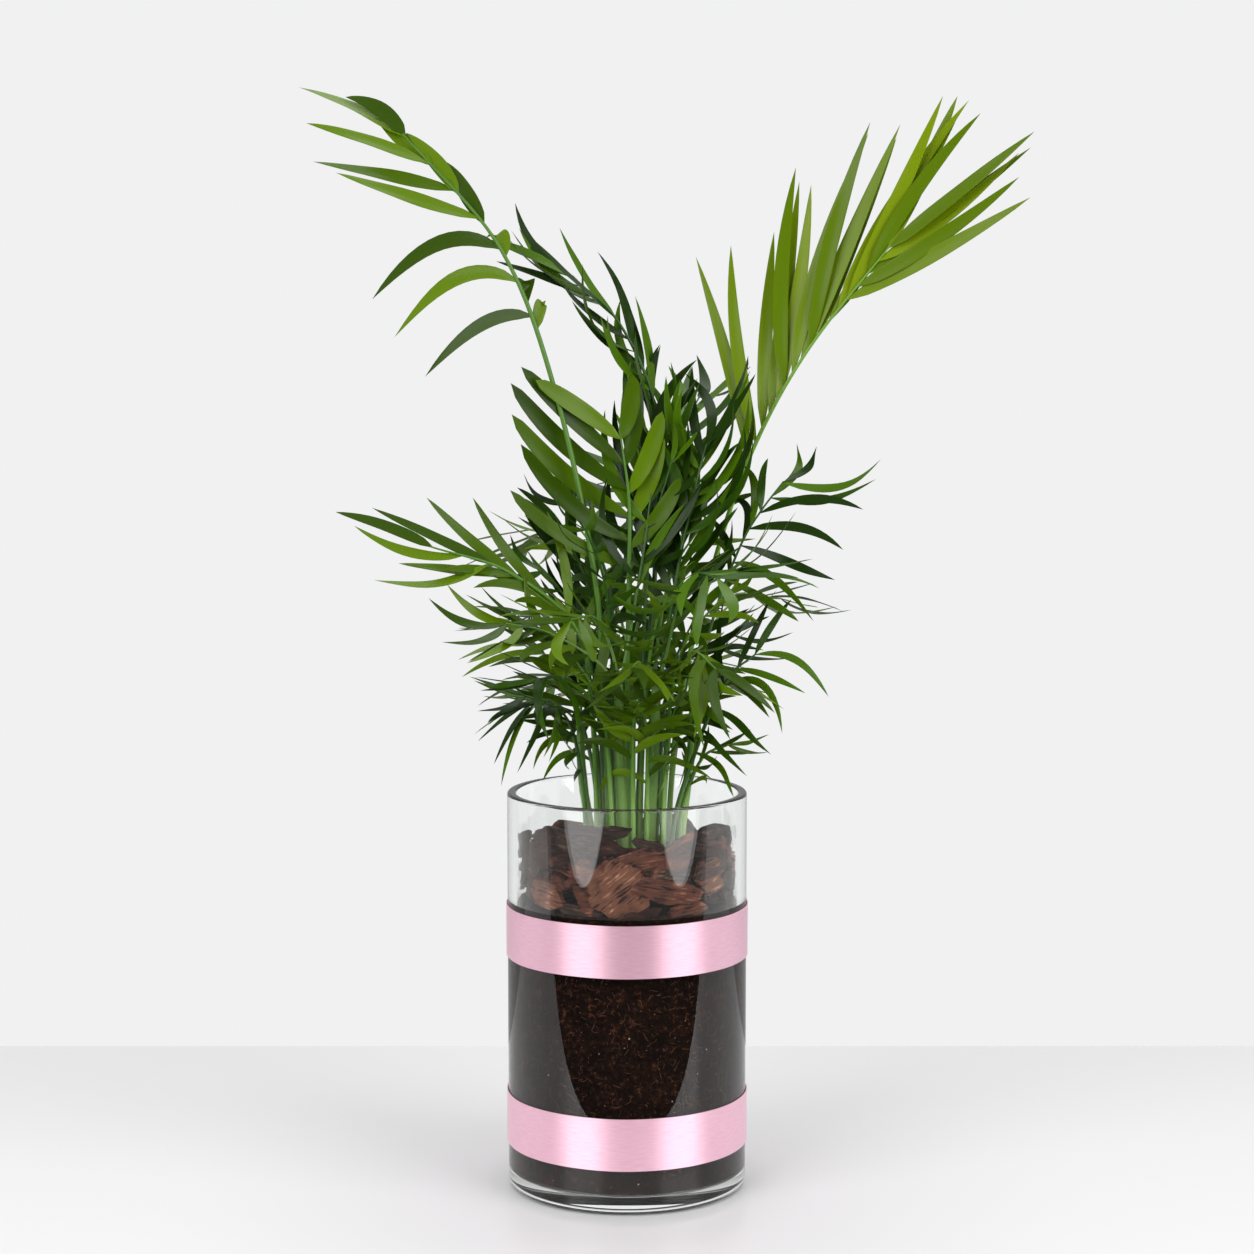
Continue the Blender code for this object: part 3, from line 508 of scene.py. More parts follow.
def leafLine(frond, pair, sign, change, t):
    # one leaflet at t: it leaves the rib at its spread, sweeps forward and sags by the square of t.
    # Between root and tip, by 4t(1 - t), it arches up and bows sideways. Its length follows half a
    # sine wave from pair to pair, and its half width a power of t times one of 1 - t.
    position = np.linspace(0, 1, growth["samples"])
    share = pair / (frond["pairs"] - 1)
    stagger = growth["stagger"] / frond["pairs"] * (1 - share) * (sign < 0)
    place = growth["firstPair"] + growth["pairRun"] * share + stagger
    place = frond["neck"] + (1 - frond["neck"]) * place
    centre, along, side, face = (
        np.stack([np.interp(place, position, frond[key][:, k]) for k in range(3)], axis=-1)
        for key in ("centre", "along", "side", "face"))
    which = int(sign < 0)
    moreSpread, moreDroop, moreFold, shorter = change
    dealt = [jitter(frond["number"], pair + 20 * k, sign) for k in range(7)]
    spreadBy, foldBy, droopBy, lengthBy = (a * b for a, b in zip(growth["chance"], dealt))
    tone, twist, phase = dealt[4:]
    spread = frond["spread"][which] * (1 - (1 - frond["close"]) * share ** frond["bunch"])
    spread = math.radians(spread + moreSpread + spreadBy)
    fold = math.radians(frond["fold"] + moreFold + foldBy)
    if frond["hang"]:
        weight = 1 / (1 + math.exp(growth["hangEdge"] * (share - frond["hang"])))
    else:
        weight = (1 - share**2) ** 3
    droop = frond["droop"][which] * (1 + frond["limp"] * weight) + moreDroop
    droop *= 1 + droopBy
    length = frond["length"] * mm * frond["reach"][which] * shorter
    length *= (0.74 + 0.26 * math.sin(math.pi * (0.1 + 0.8 * share))) * (1 - (1 - frond["tip"]) * share**2)
    length *= 1 + lengthBy
    width = frond["width"] * mm * (0.82 + 0.18 * math.sin(math.pi * share))
    if pair == frond["pairs"] - 1:
        width *= growth["endWidth"]
    outward = sign * math.cos(fold) * side + math.sin(fold) * face
    start = math.cos(spread) * along + math.sin(spread) * outward
    t = np.asarray(t, float)[:, None]
    bend = 0.5 * growth["sweep"] * along + droop * np.array((0, 0, -1))
    centre = centre + length * (start * t + bend * t**2)
    direction = unit(start + 2 * bend * t)
    across = math.sin(spread) * along - math.cos(spread) * outward
    across = unit(across - direction * (direction @ across)[:, None])
    end = 0.85 - 0.45 * frond["blunt"]
    widest = (0.6 - 0.03 * end) / (0.6 + end)
    peak = (widest + 0.03) ** 0.6 * (1 - widest) ** end
    half = 0.5 * width * frond["slim"] * (t[:, 0] + 0.03) ** 0.6 * (1 - t[:, 0]) ** end / peak
    inside = np.clip(t[:, 0] / growth["rootShare"], 0, 1)
    half = half * inside + 0.5 * ribRadius(frond, place) * (1 - inside)
    upper = sign * np.cross(across, direction)
    arch, more = leafShape["arch"]
    shift = (arch + more * twist) * upper + leafShape["bow"] * math.sin(9 * phase) * across
    centre = centre + frond["curl"] * length * 4 * t * (1 - t) * shift
    return dict(centre=centre, across=across, upper=upper, half=half, length=length,
                tone=min(2, int(1.5 * (1 + tone))), twist=twist, phase=phase)


def leafGrid(leaf, t, sign):
    # rings of eight round a thin blade: a pleat lifts its middle, its edges wave, and it twists
    # by the power 1.5 of t. UV is in centimetres across and along the blade.
    angle = math.radians(leafShape["twist"]) * leaf["twist"] * t[:, None] ** 1.5
    across = np.cos(angle) * leaf["across"] + np.sin(angle) * leaf["upper"]
    upper = np.cos(angle) * leaf["upper"] - np.sin(angle) * leaf["across"]
    columns = np.array(leafShape["columns"]) * sign
    half = leaf["half"][:, None]
    phase = fullTurn * (leafShape["waves"] * t[:, None] + leaf["phase"]) + columns
    lift = leafShape["pleat"] * half * (1 - np.abs(columns))
    lift = lift + leafShape["wave"] * half * columns**2 * np.sin(phase)
    lift = lift - np.array(leafShape["under"]) * leafShape["thickness"]
    rings = leaf["centre"][:, None] + (half * columns)[..., None] * across[:, None]
    rings = rings + lift[..., None] * upper[:, None]
    length = np.broadcast_to(t[:, None] * leaf["length"], lift.shape)
    return rings[:-1], np.stack((half * columns, length), -1)[:-1] / cm


def leafPlaces(frond, step=1, kept=()):
    # the places on a rib that bear leaflets, pair by pair, save those taken
    taken = {leaflet[:2] for leaflet in kept}
    for pair in np.arange(0, frond["pairs"] - 0.5, step):
        for sign in (1, -1):
            if pair >= frond["start"][sign < 0] * (frond["pairs"] - 1) and (pair, sign) not in taken:
                yield pair, sign


def nodePoints(mesh):
    # the places of a solid's vertices
    points = np.empty(len(mesh.vertices) * 3, dtype=np.float32)
    mesh.vertices.foreach_get("co", points)
    return points.reshape(-1, 3)


def grownLeaflets(name, frond):
    # which alternative each leaflet of the solid took: its tip is a corner of the solid
    points = nodePoints(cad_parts[name].data)
    for place in leafPlaces(frond):
        for change in changes:
            tip = leafLine(frond, *place, change, (0.5, 1.0))["centre"][1]
            if np.min(np.sum((points - tip) ** 2, axis=1)) < leafShape["sameTip"] ** 2:
                yield *place, change
                break


def solidTree(points, tris):
    # triangles sorted so that two sets can be tested for touching
    return BVHTree.FromPolygons(points.tolist(), tris.tolist(), epsilon=leafShape["clearance"])


def leafTree(frond, pair, sign, change):
    # a coarse ribbon along one leaflet's two edges, away from its root, to test for touching
    t = np.linspace(*leafShape["tested"])
    leaf = leafLine(frond, pair, sign, change, t)
    half = leaf["half"][:, None] * leaf["across"]
    edges = np.stack([leaf["centre"] + side * half for side in (-1, 0, 1)], axis=1)
    quads = gridFaces(len(t), 3, closedAround=False)
    return solidTree(edges.reshape(-1, 3), np.vstack((quads[:, :3], quads[:, [0, 2, 3]])))


def clearLeaflets(frond, places, taken):
    # at each place the first alternative that touches nothing taken, which is taken in its turn
    for place in places:
        for change in changes:
            tree = leafTree(frond, *place, change)
            if not any(tree.overlap(other) for other in taken):
                taken.append(tree)
                yield *place, change
                break


def tube(centre, side, face, radii):
    # a ring of points round each place on a path, at radii given ring by ring
    rows, around = radii.shape
    angle = np.linspace(0, fullTurn, around, endpoint=False)[:, None]
    rings = np.cos(angle) * side[:, None] + np.sin(angle) * face[:, None]
    rings = centre[:, None] + radii[..., None] * rings
    length = np.broadcast_to(runLength(centre)[:, None] / cm, (rows, around))
    u = np.abs(np.linspace(-1, 1, around, endpoint=False)) * float(np.mean(radii)) * math.pi / cm
    uv = np.stack((np.broadcast_to(u, (rows, around)), length), -1)
    uv = np.vstack((uv.reshape(-1, 2), (0, length[-1, 0]), (0, 0)))
    return *closed(rings, (centre[-1], centre[0])), uv


def growFrond(name, frond, leaflets, nodes):
    # every leaflet of a frond in one mesh, each with one of the frond's three greens, and the
    # stalk and rib: thicker where it leaves the soil, and shallowly grooved along its face
    t = np.linspace(0, 1, leafShape["stations"]) ** 1.1
    parts = []
    for pair, sign, change in leaflets:
        leaf = leafLine(frond, pair, sign, change, t)
        grid, uv = leafGrid(leaf, t, sign)
        uv = np.vstack((uv.reshape(-1, 2), (0, leaf["length"] / cm), (0, 0)))
        parts.append((*closed(grid, (leaf["centre"][-1], grid[0].mean(axis=0))), uv, leaf["tone"]))
    slot = "leaf_" + frond["tone"]
    makePiece("leaflets_" + name, joined(parts), leafTones[frond["tone"]], slot, nodes, sharp=50)
    share = np.linspace(0, 1, growth["samples"])
    angle = np.linspace(0, fullTurn, stalkShape["around"], endpoint=False)
    groove = ((angle - stalkShape["grooveAt"]) / stalkShape["grooveWidth"]) ** 2
    groove = 1 - stalkShape["groove"] * np.exp(-groove)
    swell = 1 + (0 if onCane(frond) else stalkShape["foot"]) * np.exp(-share / stalkShape["footRun"])
    radii = (ribRadius(frond, share) * swell)[:, None] * groove
    stalk = tube(frond["centre"], frond["side"], -frond["face"], radii)
    makePiece("stalk_" + name, stalk, [stalkTonesAndShade[frond["tone"]]], slot, nodes)
    return len(parts)


total = 0
for number, (name, rule) in enumerate(fronds.items()):
    frond = withRib(rule, number)
    leaflets = list(grownLeaflets(name, frond))
    # The thicker solids had no room for some leaflets: they are added where the fine ones keep
    # clear. "more" is the step from pair to pair: 0.5 tries some in between too, and 0 adds none.
    if frond["more"]:
        trees = [leafTree(frond, *leaflet) for leaflet in leaflets]
        places = leafPlaces(frond, frond["more"], leaflets)
        leaflets += list(clearLeaflets(frond, places, trees))
    total += growFrond(name.replace("frond_", ""), frond, leaflets, [name])
print("fronds grown,", total, "leaflets")

# Small fronds that thicken the middle, where the photograph shows no sky through the leaves
fillers = {  # heading, roll, foot and path
    "fill_a": (300, -20, (6, -13), (8, -16, 230), (14, -24, 286), (28, -40, 310)),
    "fill_b": (192, 40, (-10, -3), (-13, -4, 228), (-22, -8, 284), (-42, -14, 312)),
    "fill_c": (335, -50, (17, -9), (19, -11, 220), (27, -16, 272), (47, -24, 300)),
    "fill_d": (240, 20, (-4, -3), (-6, -5, 234), (-10, -16, 300), (-20, -36, 334)),
    "fill_e": (15, -50, (9, 11), (12, 14, 230), (20, 16, 300), (40, 20, 336)),
    "fill_f": (185, 55, (-2, 12), (-4, 14, 232), (-10, 14, 306), (-30, 12, 344)),
    "fill_g": (320, -40, (17, -22), (19, -25, 210), (24, -32, 246), (40, -44, 262)),
    "fill_h": (205, 30, (-19, -12), (-22, -15, 206), (-30, -22, 240), (-50, -32, 252)),
    "fill_i": (262, 0, (9, -24), (10, -28, 212), (9, -40, 240), (4, -58, 250)),
    "fill_j": (28, -30, (20, 13), (24, 16, 214), (34, 22, 262), (54, 30, 276)),
    "fill_k": (165, 35, (-18, 6), (-22, 8, 212), (-31, 10, 258), (-52, 14, 272)),
    "fill_l": (335, -60, (5, -4), (7, -6, 240), (11, -8, 320), (22, -14, 366)),
    "fill_m": (80, 0, (2, 25), (3, 30, 216), (6, 46, 262), (10, 68, 276)),
    "fill_n": (125, 10, (-13, 24), (-17, 28, 204), (-26, 40, 236), (-38, 58, 246)),
}
fillerRule = dict(length=40, width=5.5, spread=(60, 60), droop=(0.42, 0.42), limp=0.6, fold=10)
solids = [node.data for name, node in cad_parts.items() if name not in ("soil", "bark")]
taken = [solidTree(nodePoints(mesh), cornersOf(mesh).reshape(-1, 3)) for mesh in solids]
total = 0
for number, (name, (heading, roll, foot, *path)) in enumerate(fillers.items(), start=len(fronds)):
    tone = ("dark", "mid")[number % 2]
    frond = withRib(ruled(heading, 0.5, foot, *path, roll=roll, tone=tone, **fillerRule), number)
    total += growFrond(name, frond, list(clearLeaflets(frond, leafPlaces(frond), taken)), [])
print("middle thickened,", total, "leaflets more")

caneShape = {
    "rows": 110, "around": 24, "ring": 15 * mm, "ringLift": 0.055, "ringWidth": 0.9 * mm, "ribs": 7,
    "rib": 0.02, "crown": 9 * mm, "straight": 8 * mm, "firstScar": 9 * mm, "scarChance": 3 * mm,
    "swellRun": 4 * mm,
}


def growCane(name, cane):
    # a green cane ringed by old leaf scars, closed at the top by the sheath that its stalks rise
    # from: the radius tapers, swells at each scar by a bell curve, and draws in over the crown
    rows, around, sheath, straight = pick(caneShape, "rows around crown straight")
    foot, top = onSoil(cane), np.array(cane["top"]) * mm
    above, below = foot + (0, 0, straight), top - (0, 0, straight)
    shares = np.linspace(0, 1, 5)[:, None]
    ease = shares * shares * (3 - 2 * shares)
    middle = above + (below - above) * np.hstack((ease, ease, shares))
    crown = top + (0, 0, sheath)
    centre = smoothPath(np.vstack((foot, middle, top, crown)), rows)
    along = unit(np.gradient(centre, axis=0))
    side = unit(np.array((1.0, 0, 0)) - along * along[:, :1])
    length = np.linalg.norm(crown - foot) * np.linspace(0, 1, rows)
    share = np.clip(length / (length[-1] - sheath), 0, 1)
    radius = cane["radius"] * mm * (1 - (1 - growth["caneTaper"]) * share)
    radius *= 1 + (growth["caneSwell"] - 1) * np.exp(-length / caneShape["swellRun"])
    seed = sum(map(ord, name))
    scars = np.arange(caneShape["firstScar"], length[-1] - sheath, caneShape["ring"])
    scars = scars + [caneShape["scarChance"] * jitter(seed, k) for k in range(len(scars))]
    bells = np.exp(-((length[:, None] - scars) / caneShape["ringWidth"]) ** 2).sum(axis=1)
    radius *= 1 + caneShape["ringLift"] * bells
    past = np.clip((length - length[-1] + sheath) / sheath, 0, 1)
    radius *= 1 - 0.12 * past - 0.55 * past**4
    turn = np.linspace(0, fullTurn, around, endpoint=False)
    radii = radius[:, None] * (1 + caneShape["rib"] * np.cos(caneShape["ribs"] * turn + seed))
    shape = tube(centre, side, np.cross(along, side), radii)
    makePiece("stem_" + name.replace("cane_", ""), shape, [caneMaterial], "cane", [name])


for name, cane in canes.items():
    growCane(name, cane)
print("canes grown")

vaseShape = {
    "radius": 60 * mm, "height": 200 * mm, "wall": 4.5 * mm, "floor": 8 * mm, "heel": 4 * mm,
    "fillet": 3 * mm, "lip": 1.3 * mm, "around": 240, "middle": 20 * mm,
    # foot, footSkin and footInset size the ring of painted shade at the glass foot: its height, how far it
    # sits inside the glass skin, and its inset
    "foot": 2.2 * mm, "footSkin": 0.35 * mm, "footInset": 1 * mm,
    "near": 0.4 * mm,  # how close the flat parts come to each rounded corner, to shade flat
}


def arc(centre, radius, start, end, count):
    # points on a circle from one angle to another, in degrees
    angles = np.radians(np.linspace(start, end, count))
    return [(centre[0] + radius * math.cos(a), centre[1] + radius * math.sin(a)) for a in angles]


def turned(profile, around):
    # a profile of radius and height carried once round +Z, one ring for each of its points
    profile = np.array(profile)
    turn = np.linspace(0, fullTurn, around, endpoint=False)
    return polar(profile[:, :1], turn, profile[:, 1:])


outer = vaseShape["radius"]
inner = outer - vaseShape["wall"]
floor, fillet, heel, lip, near = pick(vaseShape, "floor fillet heel lip near")
lipHeight = vaseShape["height"] - lip
vaseProfile = (
    [(vaseShape["middle"], floor), (inner - fillet - near, floor)]
    + arc((inner - fillet, floor + fillet), fillet, -90, 0, 8)
    + [(inner, floor + fillet + near)] + [(inner, h) for h in np.linspace(0.02, 0.19, 8)]
    + [(inner, lipHeight - near)]
    + arc((inner + lip, lipHeight), lip, 180, 90, 8) + arc((outer - lip, lipHeight), lip, 90, 0, 8)
    + [(outer, lipHeight - near)] + [(outer, h) for h in np.linspace(0.19, 0.012, 8)]
    + [(outer, heel + near)] + arc((outer - heel, heel), heel, 0, -90, 9)
    + [(outer - heel - near, 0), (vaseShape["middle"], 0)]
)
wall = closed(turned(vaseProfile[::-1], vaseShape["around"]), ((0, 0, 0), (0, 0, floor)), lastFirst=False)
cylinder = makePiece("glass_cylinder", wall, [glass], "glass", ["vase"], sharp=60)
cylinder.visible_shadow = False  # clear glass lets the studio light through to the soil and bark


def paintFootShade():
    # a dark ring just inside the rounded heel, painted shade standing for the dark look of thick glass
    # seen edge on at the foot: a closed ring whose profile, an arc and two straight sides, is carried once
    # round +Z
    foot, skin, inset = pick(vaseShape, "foot footSkin footInset")
    end = math.degrees(math.asin(foot / heel - 1))
    profile = arc((outer - heel, heel), heel - skin, -88, end, 7)
    profile += [(outer - heel - inset, foot), (outer - heel - inset, skin)]
    points = turned(profile, vaseShape["around"])
    index = np.arange(points.size // 3).reshape(points.shape[:2])
    over, beside = np.roll(index, -1, axis=0), np.roll(index, -1, axis=1)
    quads = np.stack((index, beside, np.roll(beside, -1, axis=0), over), axis=-1).reshape(-1, 4)
    makePiece("glass_foot_painted_shade", (points, quads), [footShadeMaterial], "glass", ["vase"])


# Painted shade at the foot: thick soda-lime glass seen edge on looks dark and faintly green, here an opaque
# smooth colour
footShadeMaterial = newMaterial("painted shade, soda lime glass edge on", "#30332C", {"Roughness": 0.2})
# the dark ring of painted shade at the foot of the glass
paintFootShade()
print("vase turned")

soilShape = {  # moist soil wets the glass, so its skin is set 0.1 mm into the inner wall
    "radius": inner + 0.1 * mm, "bottom": 8.4 * mm, "top": 150 * mm, "edge": 146.5 * mm, "rows": 90,
    "around": 360, "lump": 1.76 * mm, "lumpSizes": (1.3 * mm, 2.2 * mm),
    "fibres": 6200, "fibreLength": (1.2 * mm, 5.5 * mm), "fibreRadius": 0.085 * mm, "fibreBend": 3.5,
    "fibreEnds": (0.3, 0.9, 1, 1, 0.8, 0.2), "fibreProud": 0.12 * mm, "fibreSunk": 0.06 * mm,
    "specks": 900, "speckSize": (0.18, 0.42), "speckHeights": (12 * mm, 132 * mm), "speckSunk": 0.05 * mm,
}


def ripple(x, y, seed, waves=9):
    # a smooth random field from -1 to 1: plane waves of random bearing, size and phase, added up
    source = np.random.RandomState(seed)
    value = np.zeros(np.broadcast(x, y).shape)
    for bearing, size, phase in source.rand(waves, 3):
        wave = (math.cos(7 * bearing) * x + math.sin(7 * bearing) * y) * (0.5 + 2 * size)
        value = value + np.sin(wave + fullTurn * phase)
    return value / waves**0.5 / 1.6


def makeSoilBody():
    # soil packed against the glass: a turned body whose top falls into small hollows
    around, radius, bottom, top, edge = pick(soilShape, "around radius bottom top edge")
    profile = np.vstack((
        ((1 * mm, bottom), (40 * mm, bottom)), arc((radius - fillet, bottom + fillet), fillet, -90, 0, 6),
        [(radius, h) for h in np.linspace(bottom + fillet + 1 * mm, edge - 1 * mm, soilShape["rows"])],
        [(r, top + (edge - top) * (r / radius) ** 3) for r in np.linspace(radius - 0.6 * mm, 1 * mm, 26)],
    ))
    turn = np.linspace(0, fullTurn, around, endpoint=False)
    length = runLength(profile)[:, None]
    fine, coarse = soilShape["lumpSizes"]
    lumps = ripple(length / fine, radius * np.cos(turn) / fine, 5, 16)
    lumps = lumps * 0.5 + 0.5 * ripple(length / coarse, radius * np.sin(turn) / coarse, 6, 16)
    onTop = (profile[:, 1:] > edge - 0.5 * mm) & (profile[:, :1] < radius - 0.3 * mm)
    points = turned(profile, around)
    points[..., 2] -= np.where(onTop, soilShape["lump"] * np.clip(lumps, 0, 1), 0)
    shape = closed(points, ((0, 0, bottom), (0, 0, top)), lastFirst=False)
    makePiece("potting_mix", shape, [soilMaterial], "soil", ["soil"], sharp=70)


def makeFibres():
    # peat fibres pressed flat on the glass: each is a short arc whose bearing turns at an even
    # rate, drawn twice as thick as life so that it shows, with three sides and fine ends
    source = np.random.RandomState(11)
    ends = np.array(soilShape["fibreEnds"])
    count, steps = soilShape["fibres"], len(ends)
    radius, bottom, edge = pick(soilShape, "radius bottom edge")
    radius += soilShape["fibreProud"]
    low, high = soilShape["fibreLength"]
    length = low + (high - low) * source.rand(count) ** 2
    bearing = source.rand(count) * fullTurn
    bend = (source.rand(count) - 0.5) * soilShape["fibreBend"]
    angle = bearing[:, None] + bend[:, None] * np.linspace(-0.5, 0.5, steps)
    step = (length / (steps - 1))[:, None]
    sideways = np.cumsum(np.cos(angle) * step, axis=1)
    rise = np.cumsum(np.sin(angle) * step, axis=1)
    turn = fullTurn * source.rand(count)[:, None] + sideways / radius
    height = bottom + 4 * mm + (edge - bottom - 8 * mm) * source.rand(count)[:, None]
    height = np.clip(height + rise, bottom + 3 * mm, edge - 0.5 * mm)
    thick = soilShape["fibreRadius"] * (0.55 + 0.6 * source.rand(count))[:, None] * ends
    offset = thick[..., None, None] * np.array(((1.0, 0.0), (-0.5, -0.87), (-0.5, 0.87)))
    outwards = radius - soilShape["fibreSunk"] + offset[..., 0]
    sidestep = -np.sin(angle)[..., None] * offset[..., 1]
    around = turn[..., None] + sidestep / radius
    height = height[..., None] + np.cos(angle)[..., None] * offset[..., 1]
    points = polar(outwards, around, height)
    base = np.arange(count)[:, None, None] * steps * 3
    quads = (gridFaces(steps, 3)[None] + base).reshape(-1, 4)
    ends = np.array(((0, 2, 1), (steps * 3 - 3, steps * 3 - 2, steps * 3 - 1)))
    tris = (ends[None] + base).reshape(-1, 3)
    tones = source.randint(0, 3, count)
    index = np.concatenate((np.repeat(tones, 3 * (steps - 1)), np.repeat(tones, 2)))
    makePiece("peat_fibres", (points, quads, tris, None, index), fibreMaterials, "soil", ["soil"], sharp=80)


def makeSpecks():
    # crumbs and a little grit: small eight-faced grains, squashed against the glass
    source = np.random.RandomState(12)
    count = soilShape["specks"]
    small, more = soilShape["speckSize"]
    size = (small + more * source.rand(count) ** 3) * mm
    turn = fullTurn * source.rand(count)
    out = polar(1, turn)
    low, run = soilShape["speckHeights"]
    up = np.broadcast_to(np.array((0.0, 0, 1)), (count, 3))
    height = low + run * source.rand(count)
    centre = polar(soilShape["radius"] - soilShape["speckSunk"], turn, height)
    side = polar(1, turn + math.pi / 2)
    arms = np.stack((out * 0.4, -out * 0.4, side, -side, up, -up), axis=1)
    stretch = 0.6 + 0.8 * source.rand(count, 6, 1)
    points = centre[:, None] + size[:, None, None] * arms * stretch
    grain = np.array(((0, 2, 4), (2, 1, 4), (1, 3, 4), (3, 0, 4), (2, 0, 5), (1, 2, 5), (3, 1, 5), (0, 3, 5)))
    tris = (grain[None] + np.arange(count)[:, None, None] * 6).reshape(-1, 3)
    index = np.repeat(source.choice(3, count, p=(0.18, 0.47, 0.35)), len(grain))
    shape = (points, np.zeros((0, 4), int), tris, None, index)
    makePiece("soil_grit", shape, gritMaterials, "soil", ["soil"], sharp=20)


def mattMaterials(*colours):
    # dry matt materials, each a name and a plain colour
    matt = {"Roughness": 0.8, "Specular IOR Level": 0.15}
    return [newMaterial(name, colour, matt) for name, colour in colours]


# Dried peat and coir fibre, matt, in three browns
fibreMaterials = mattMaterials(
    ("coir fibre, red brown", "#381B0F"), ("coir fibre, dark", "#120805"), ("coir fibre, pale", "#6E4A35"))
# Crushed perlite, and dry crumbs of peat and bark pressed on the glass, matt
gritMaterials = mattMaterials(
    ("perlite, crushed", "#B4ADA2"), ("peat crumb, dry", "#6B5445"), ("bark crumb, dry", "#83644F"))
makeSoilBody()
makeFibres()
makeSpecks()
print("soil filled")

barkShape = {
    "reach": 54.9 * mm, "front": (31, 72), "heap": (17, 40), "ceiling": 190 * mm, "relief": 0.5 * mm,
    "tiers": (  # height, chips, turn
        (151 * mm, 12, 0.0), (157 * mm, 12, 0.5), (163 * mm, 11, 0.2), (168 * mm, 11, 0.7),
        (173 * mm, 9, 0.4),
    ),
    "inside": 46, "insideReach": 46 * mm, "spiral": 2.4, "seen": (222, 318), "breaks": 7,
    "furthest": 1.25, "dome": 0.16, "bow": 0.09, "press": 4 * mm,
    "ragged": ((5, 0.05), (14, 0.04)),  # waves per radian and height of each
    "ridges": ((7 * mm, 1.6 * mm, 1.0), (4 * mm, 0.8 * mm, 0.5)),  # length, width and height of each
}
# Chips seen through the glass: x, z, depth behind it, half sizes along and up, tilt, tone
frontChips = (
    (-4, 161, 0.4, 14, 14, 38, 1), (20, 158.5, 0.6, 19, 5.5, -13, 0), (-39, 154.5, 0.4, 10.5, 7.0, -8, 1),
    (-20.5, 161, 2.8, 6.5, 13.5, 4, 0), (41, 164, 0.4, 8.5, 9.5, 12, 1), (5, 171.5, 5.5, 16, 5.5, 9, 0),
    (-38, 172, 2.6, 13, 3.6, 16, 2), (-34, 178, 5.0, 12, 3.0, -12, 3), (-43, 183, 3.0, 8, 3.2, 10, 2),
    (-46, 167, 1.4, 7, 5.0, -24, 3), (-30, 168, 3.6, 12, 2.8, -22, 0), (22, 170, 3.4, 12, 4.6, 20, 0),
    (25, 177, 6.5, 13, 3.2, 34, 0), (14, 179, 9.0, 10, 3.0, -18, 3), (38, 176, 5.0, 10, 3.4, -16, 3),
    (44, 183, 4.0, 8, 2.8, 14, 3), (30, 149, 0.8, 11, 3.0, 5, 0), (-24, 148.5, 1.2, 10, 2.6, -6, 3),
    (49, 153, 0.8, 6, 5.0, -8, 2), (-14, 181, 8.0, 12, 3.4, -14, 2), (8, 148.5, 1.2, 9, 2.4, 8, 2),
    (-12, 186, 12.0, 12, 3.0, 6, 3), (30, 165, 6.0, 10, 4.0, -30, 3), (-52, 176, 0.8, 5, 6.0, 20, 2),
    (-12, 173, 13.0, 13, 6.0, 12, 2), (8, 172, 14.0, 14, 6.0, -10, 0), (26, 174, 13.0, 13, 5.0, 8, 2),
    (-44, 175, 2.4, 12, 4.6, 10, 2), (-36, 184, 5.0, 12, 3.2, -6, 3), (-25, 186, 9.0, 11, 3.0, 8, 2),
    (-50, 169, 0.8, 8, 5.0, 12, 3), (46, 173, 1.6, 9, 5.0, -10, 2), (36, 181, 8.0, 10, 3.0, 12, 3),
    (-2, 167, 17.0, 15, 6.5, 4, 3), (-28, 178, 12.0, 11, 5.0, -14, 0), (18, 168, 18.0, 14, 6.0, -6, 2),
)


def barkChip(middle, half, turn, seed, rows, around):
    # one split chip: a plate of half sizes a, b whose outline is the nearest of seven straight
    # breaks at each bearing, with a ragged edge stepped by layer and ridges along its faces
    source = np.random.RandomState(seed)
    v = np.linspace(0, 1, rows)[1:-1, None]
    u = np.linspace(0, fullTurn, around, endpoint=False)
    count = barkShape["breaks"]
    breaks = (np.arange(count) + 0.75 * (source.rand(count) - 0.5)) * 2 * math.pi / count
    reach = 0.84 + 0.3 * source.rand(count)
    facing = np.cos(u[:, None] - breaks)
    outline = np.min(np.where(facing > 0.2, reach / np.maximum(facing, 0.2), 9), axis=1)
    outline = np.minimum(outline, barkShape["furthest"])
    ragged = 1
    for k, (often, size) in enumerate(barkShape["ragged"]):
        ragged = ragged + size * ripple(often * np.cos(u), often * np.sin(u), seed + k, 12)
    spread = np.clip(np.sin(math.pi * v) * 1.35, 0, 1) ** 0.9
    layer = np.sin(30 * v + 3 * np.sin(2 * u + 6 * source.rand()) + 6 * source.rand())
    steps = 1 - 0.10 * (np.abs(v - 0.5) < 0.22) * (layer > 0.1)
    height = np.clip((0.5 - v) * 4.4, -1, 1)
    x = half[0] * spread * steps * outline * ragged * np.cos(u)
    y = half[1] * spread * steps * outline * ragged * np.sin(u)
    ridges = 0
    for k, (long, wide, size) in enumerate(barkShape["ridges"]):
        ridges = ridges + size * ripple(x / long, y / wide, seed + 2 + k, 12)
    ridges = np.round(2.2 * ridges) / 2.2 * 0.6 + 0.4 * ridges
    relief = barkShape["relief"] * ridges * (0.3 + 0.7 * np.abs(height)) * np.clip(2.4 * spread, 0, 1)
    dome = barkShape["dome"] * half[1] * (y / half[1]) ** 2 * source.choice((-1, 1))
    bow = barkShape["bow"] * half[0] * (x / half[0]) ** 2 * source.choice((-1, 1))
    z = half[2] * height + relief + dome + bow
    tip = half[2] * 1.02
    rings = np.stack((x, y, np.broadcast_to(z, x.shape)), axis=-1)
    points, quads, tris = closed(rings, ((0, 0, tip), (0, 0, -tip)), lastFirst=False, outwards=False)
    return points @ np.array(turn).T + middle, quads, tris, points[:, :2] / cm + 17 * source.rand(2)


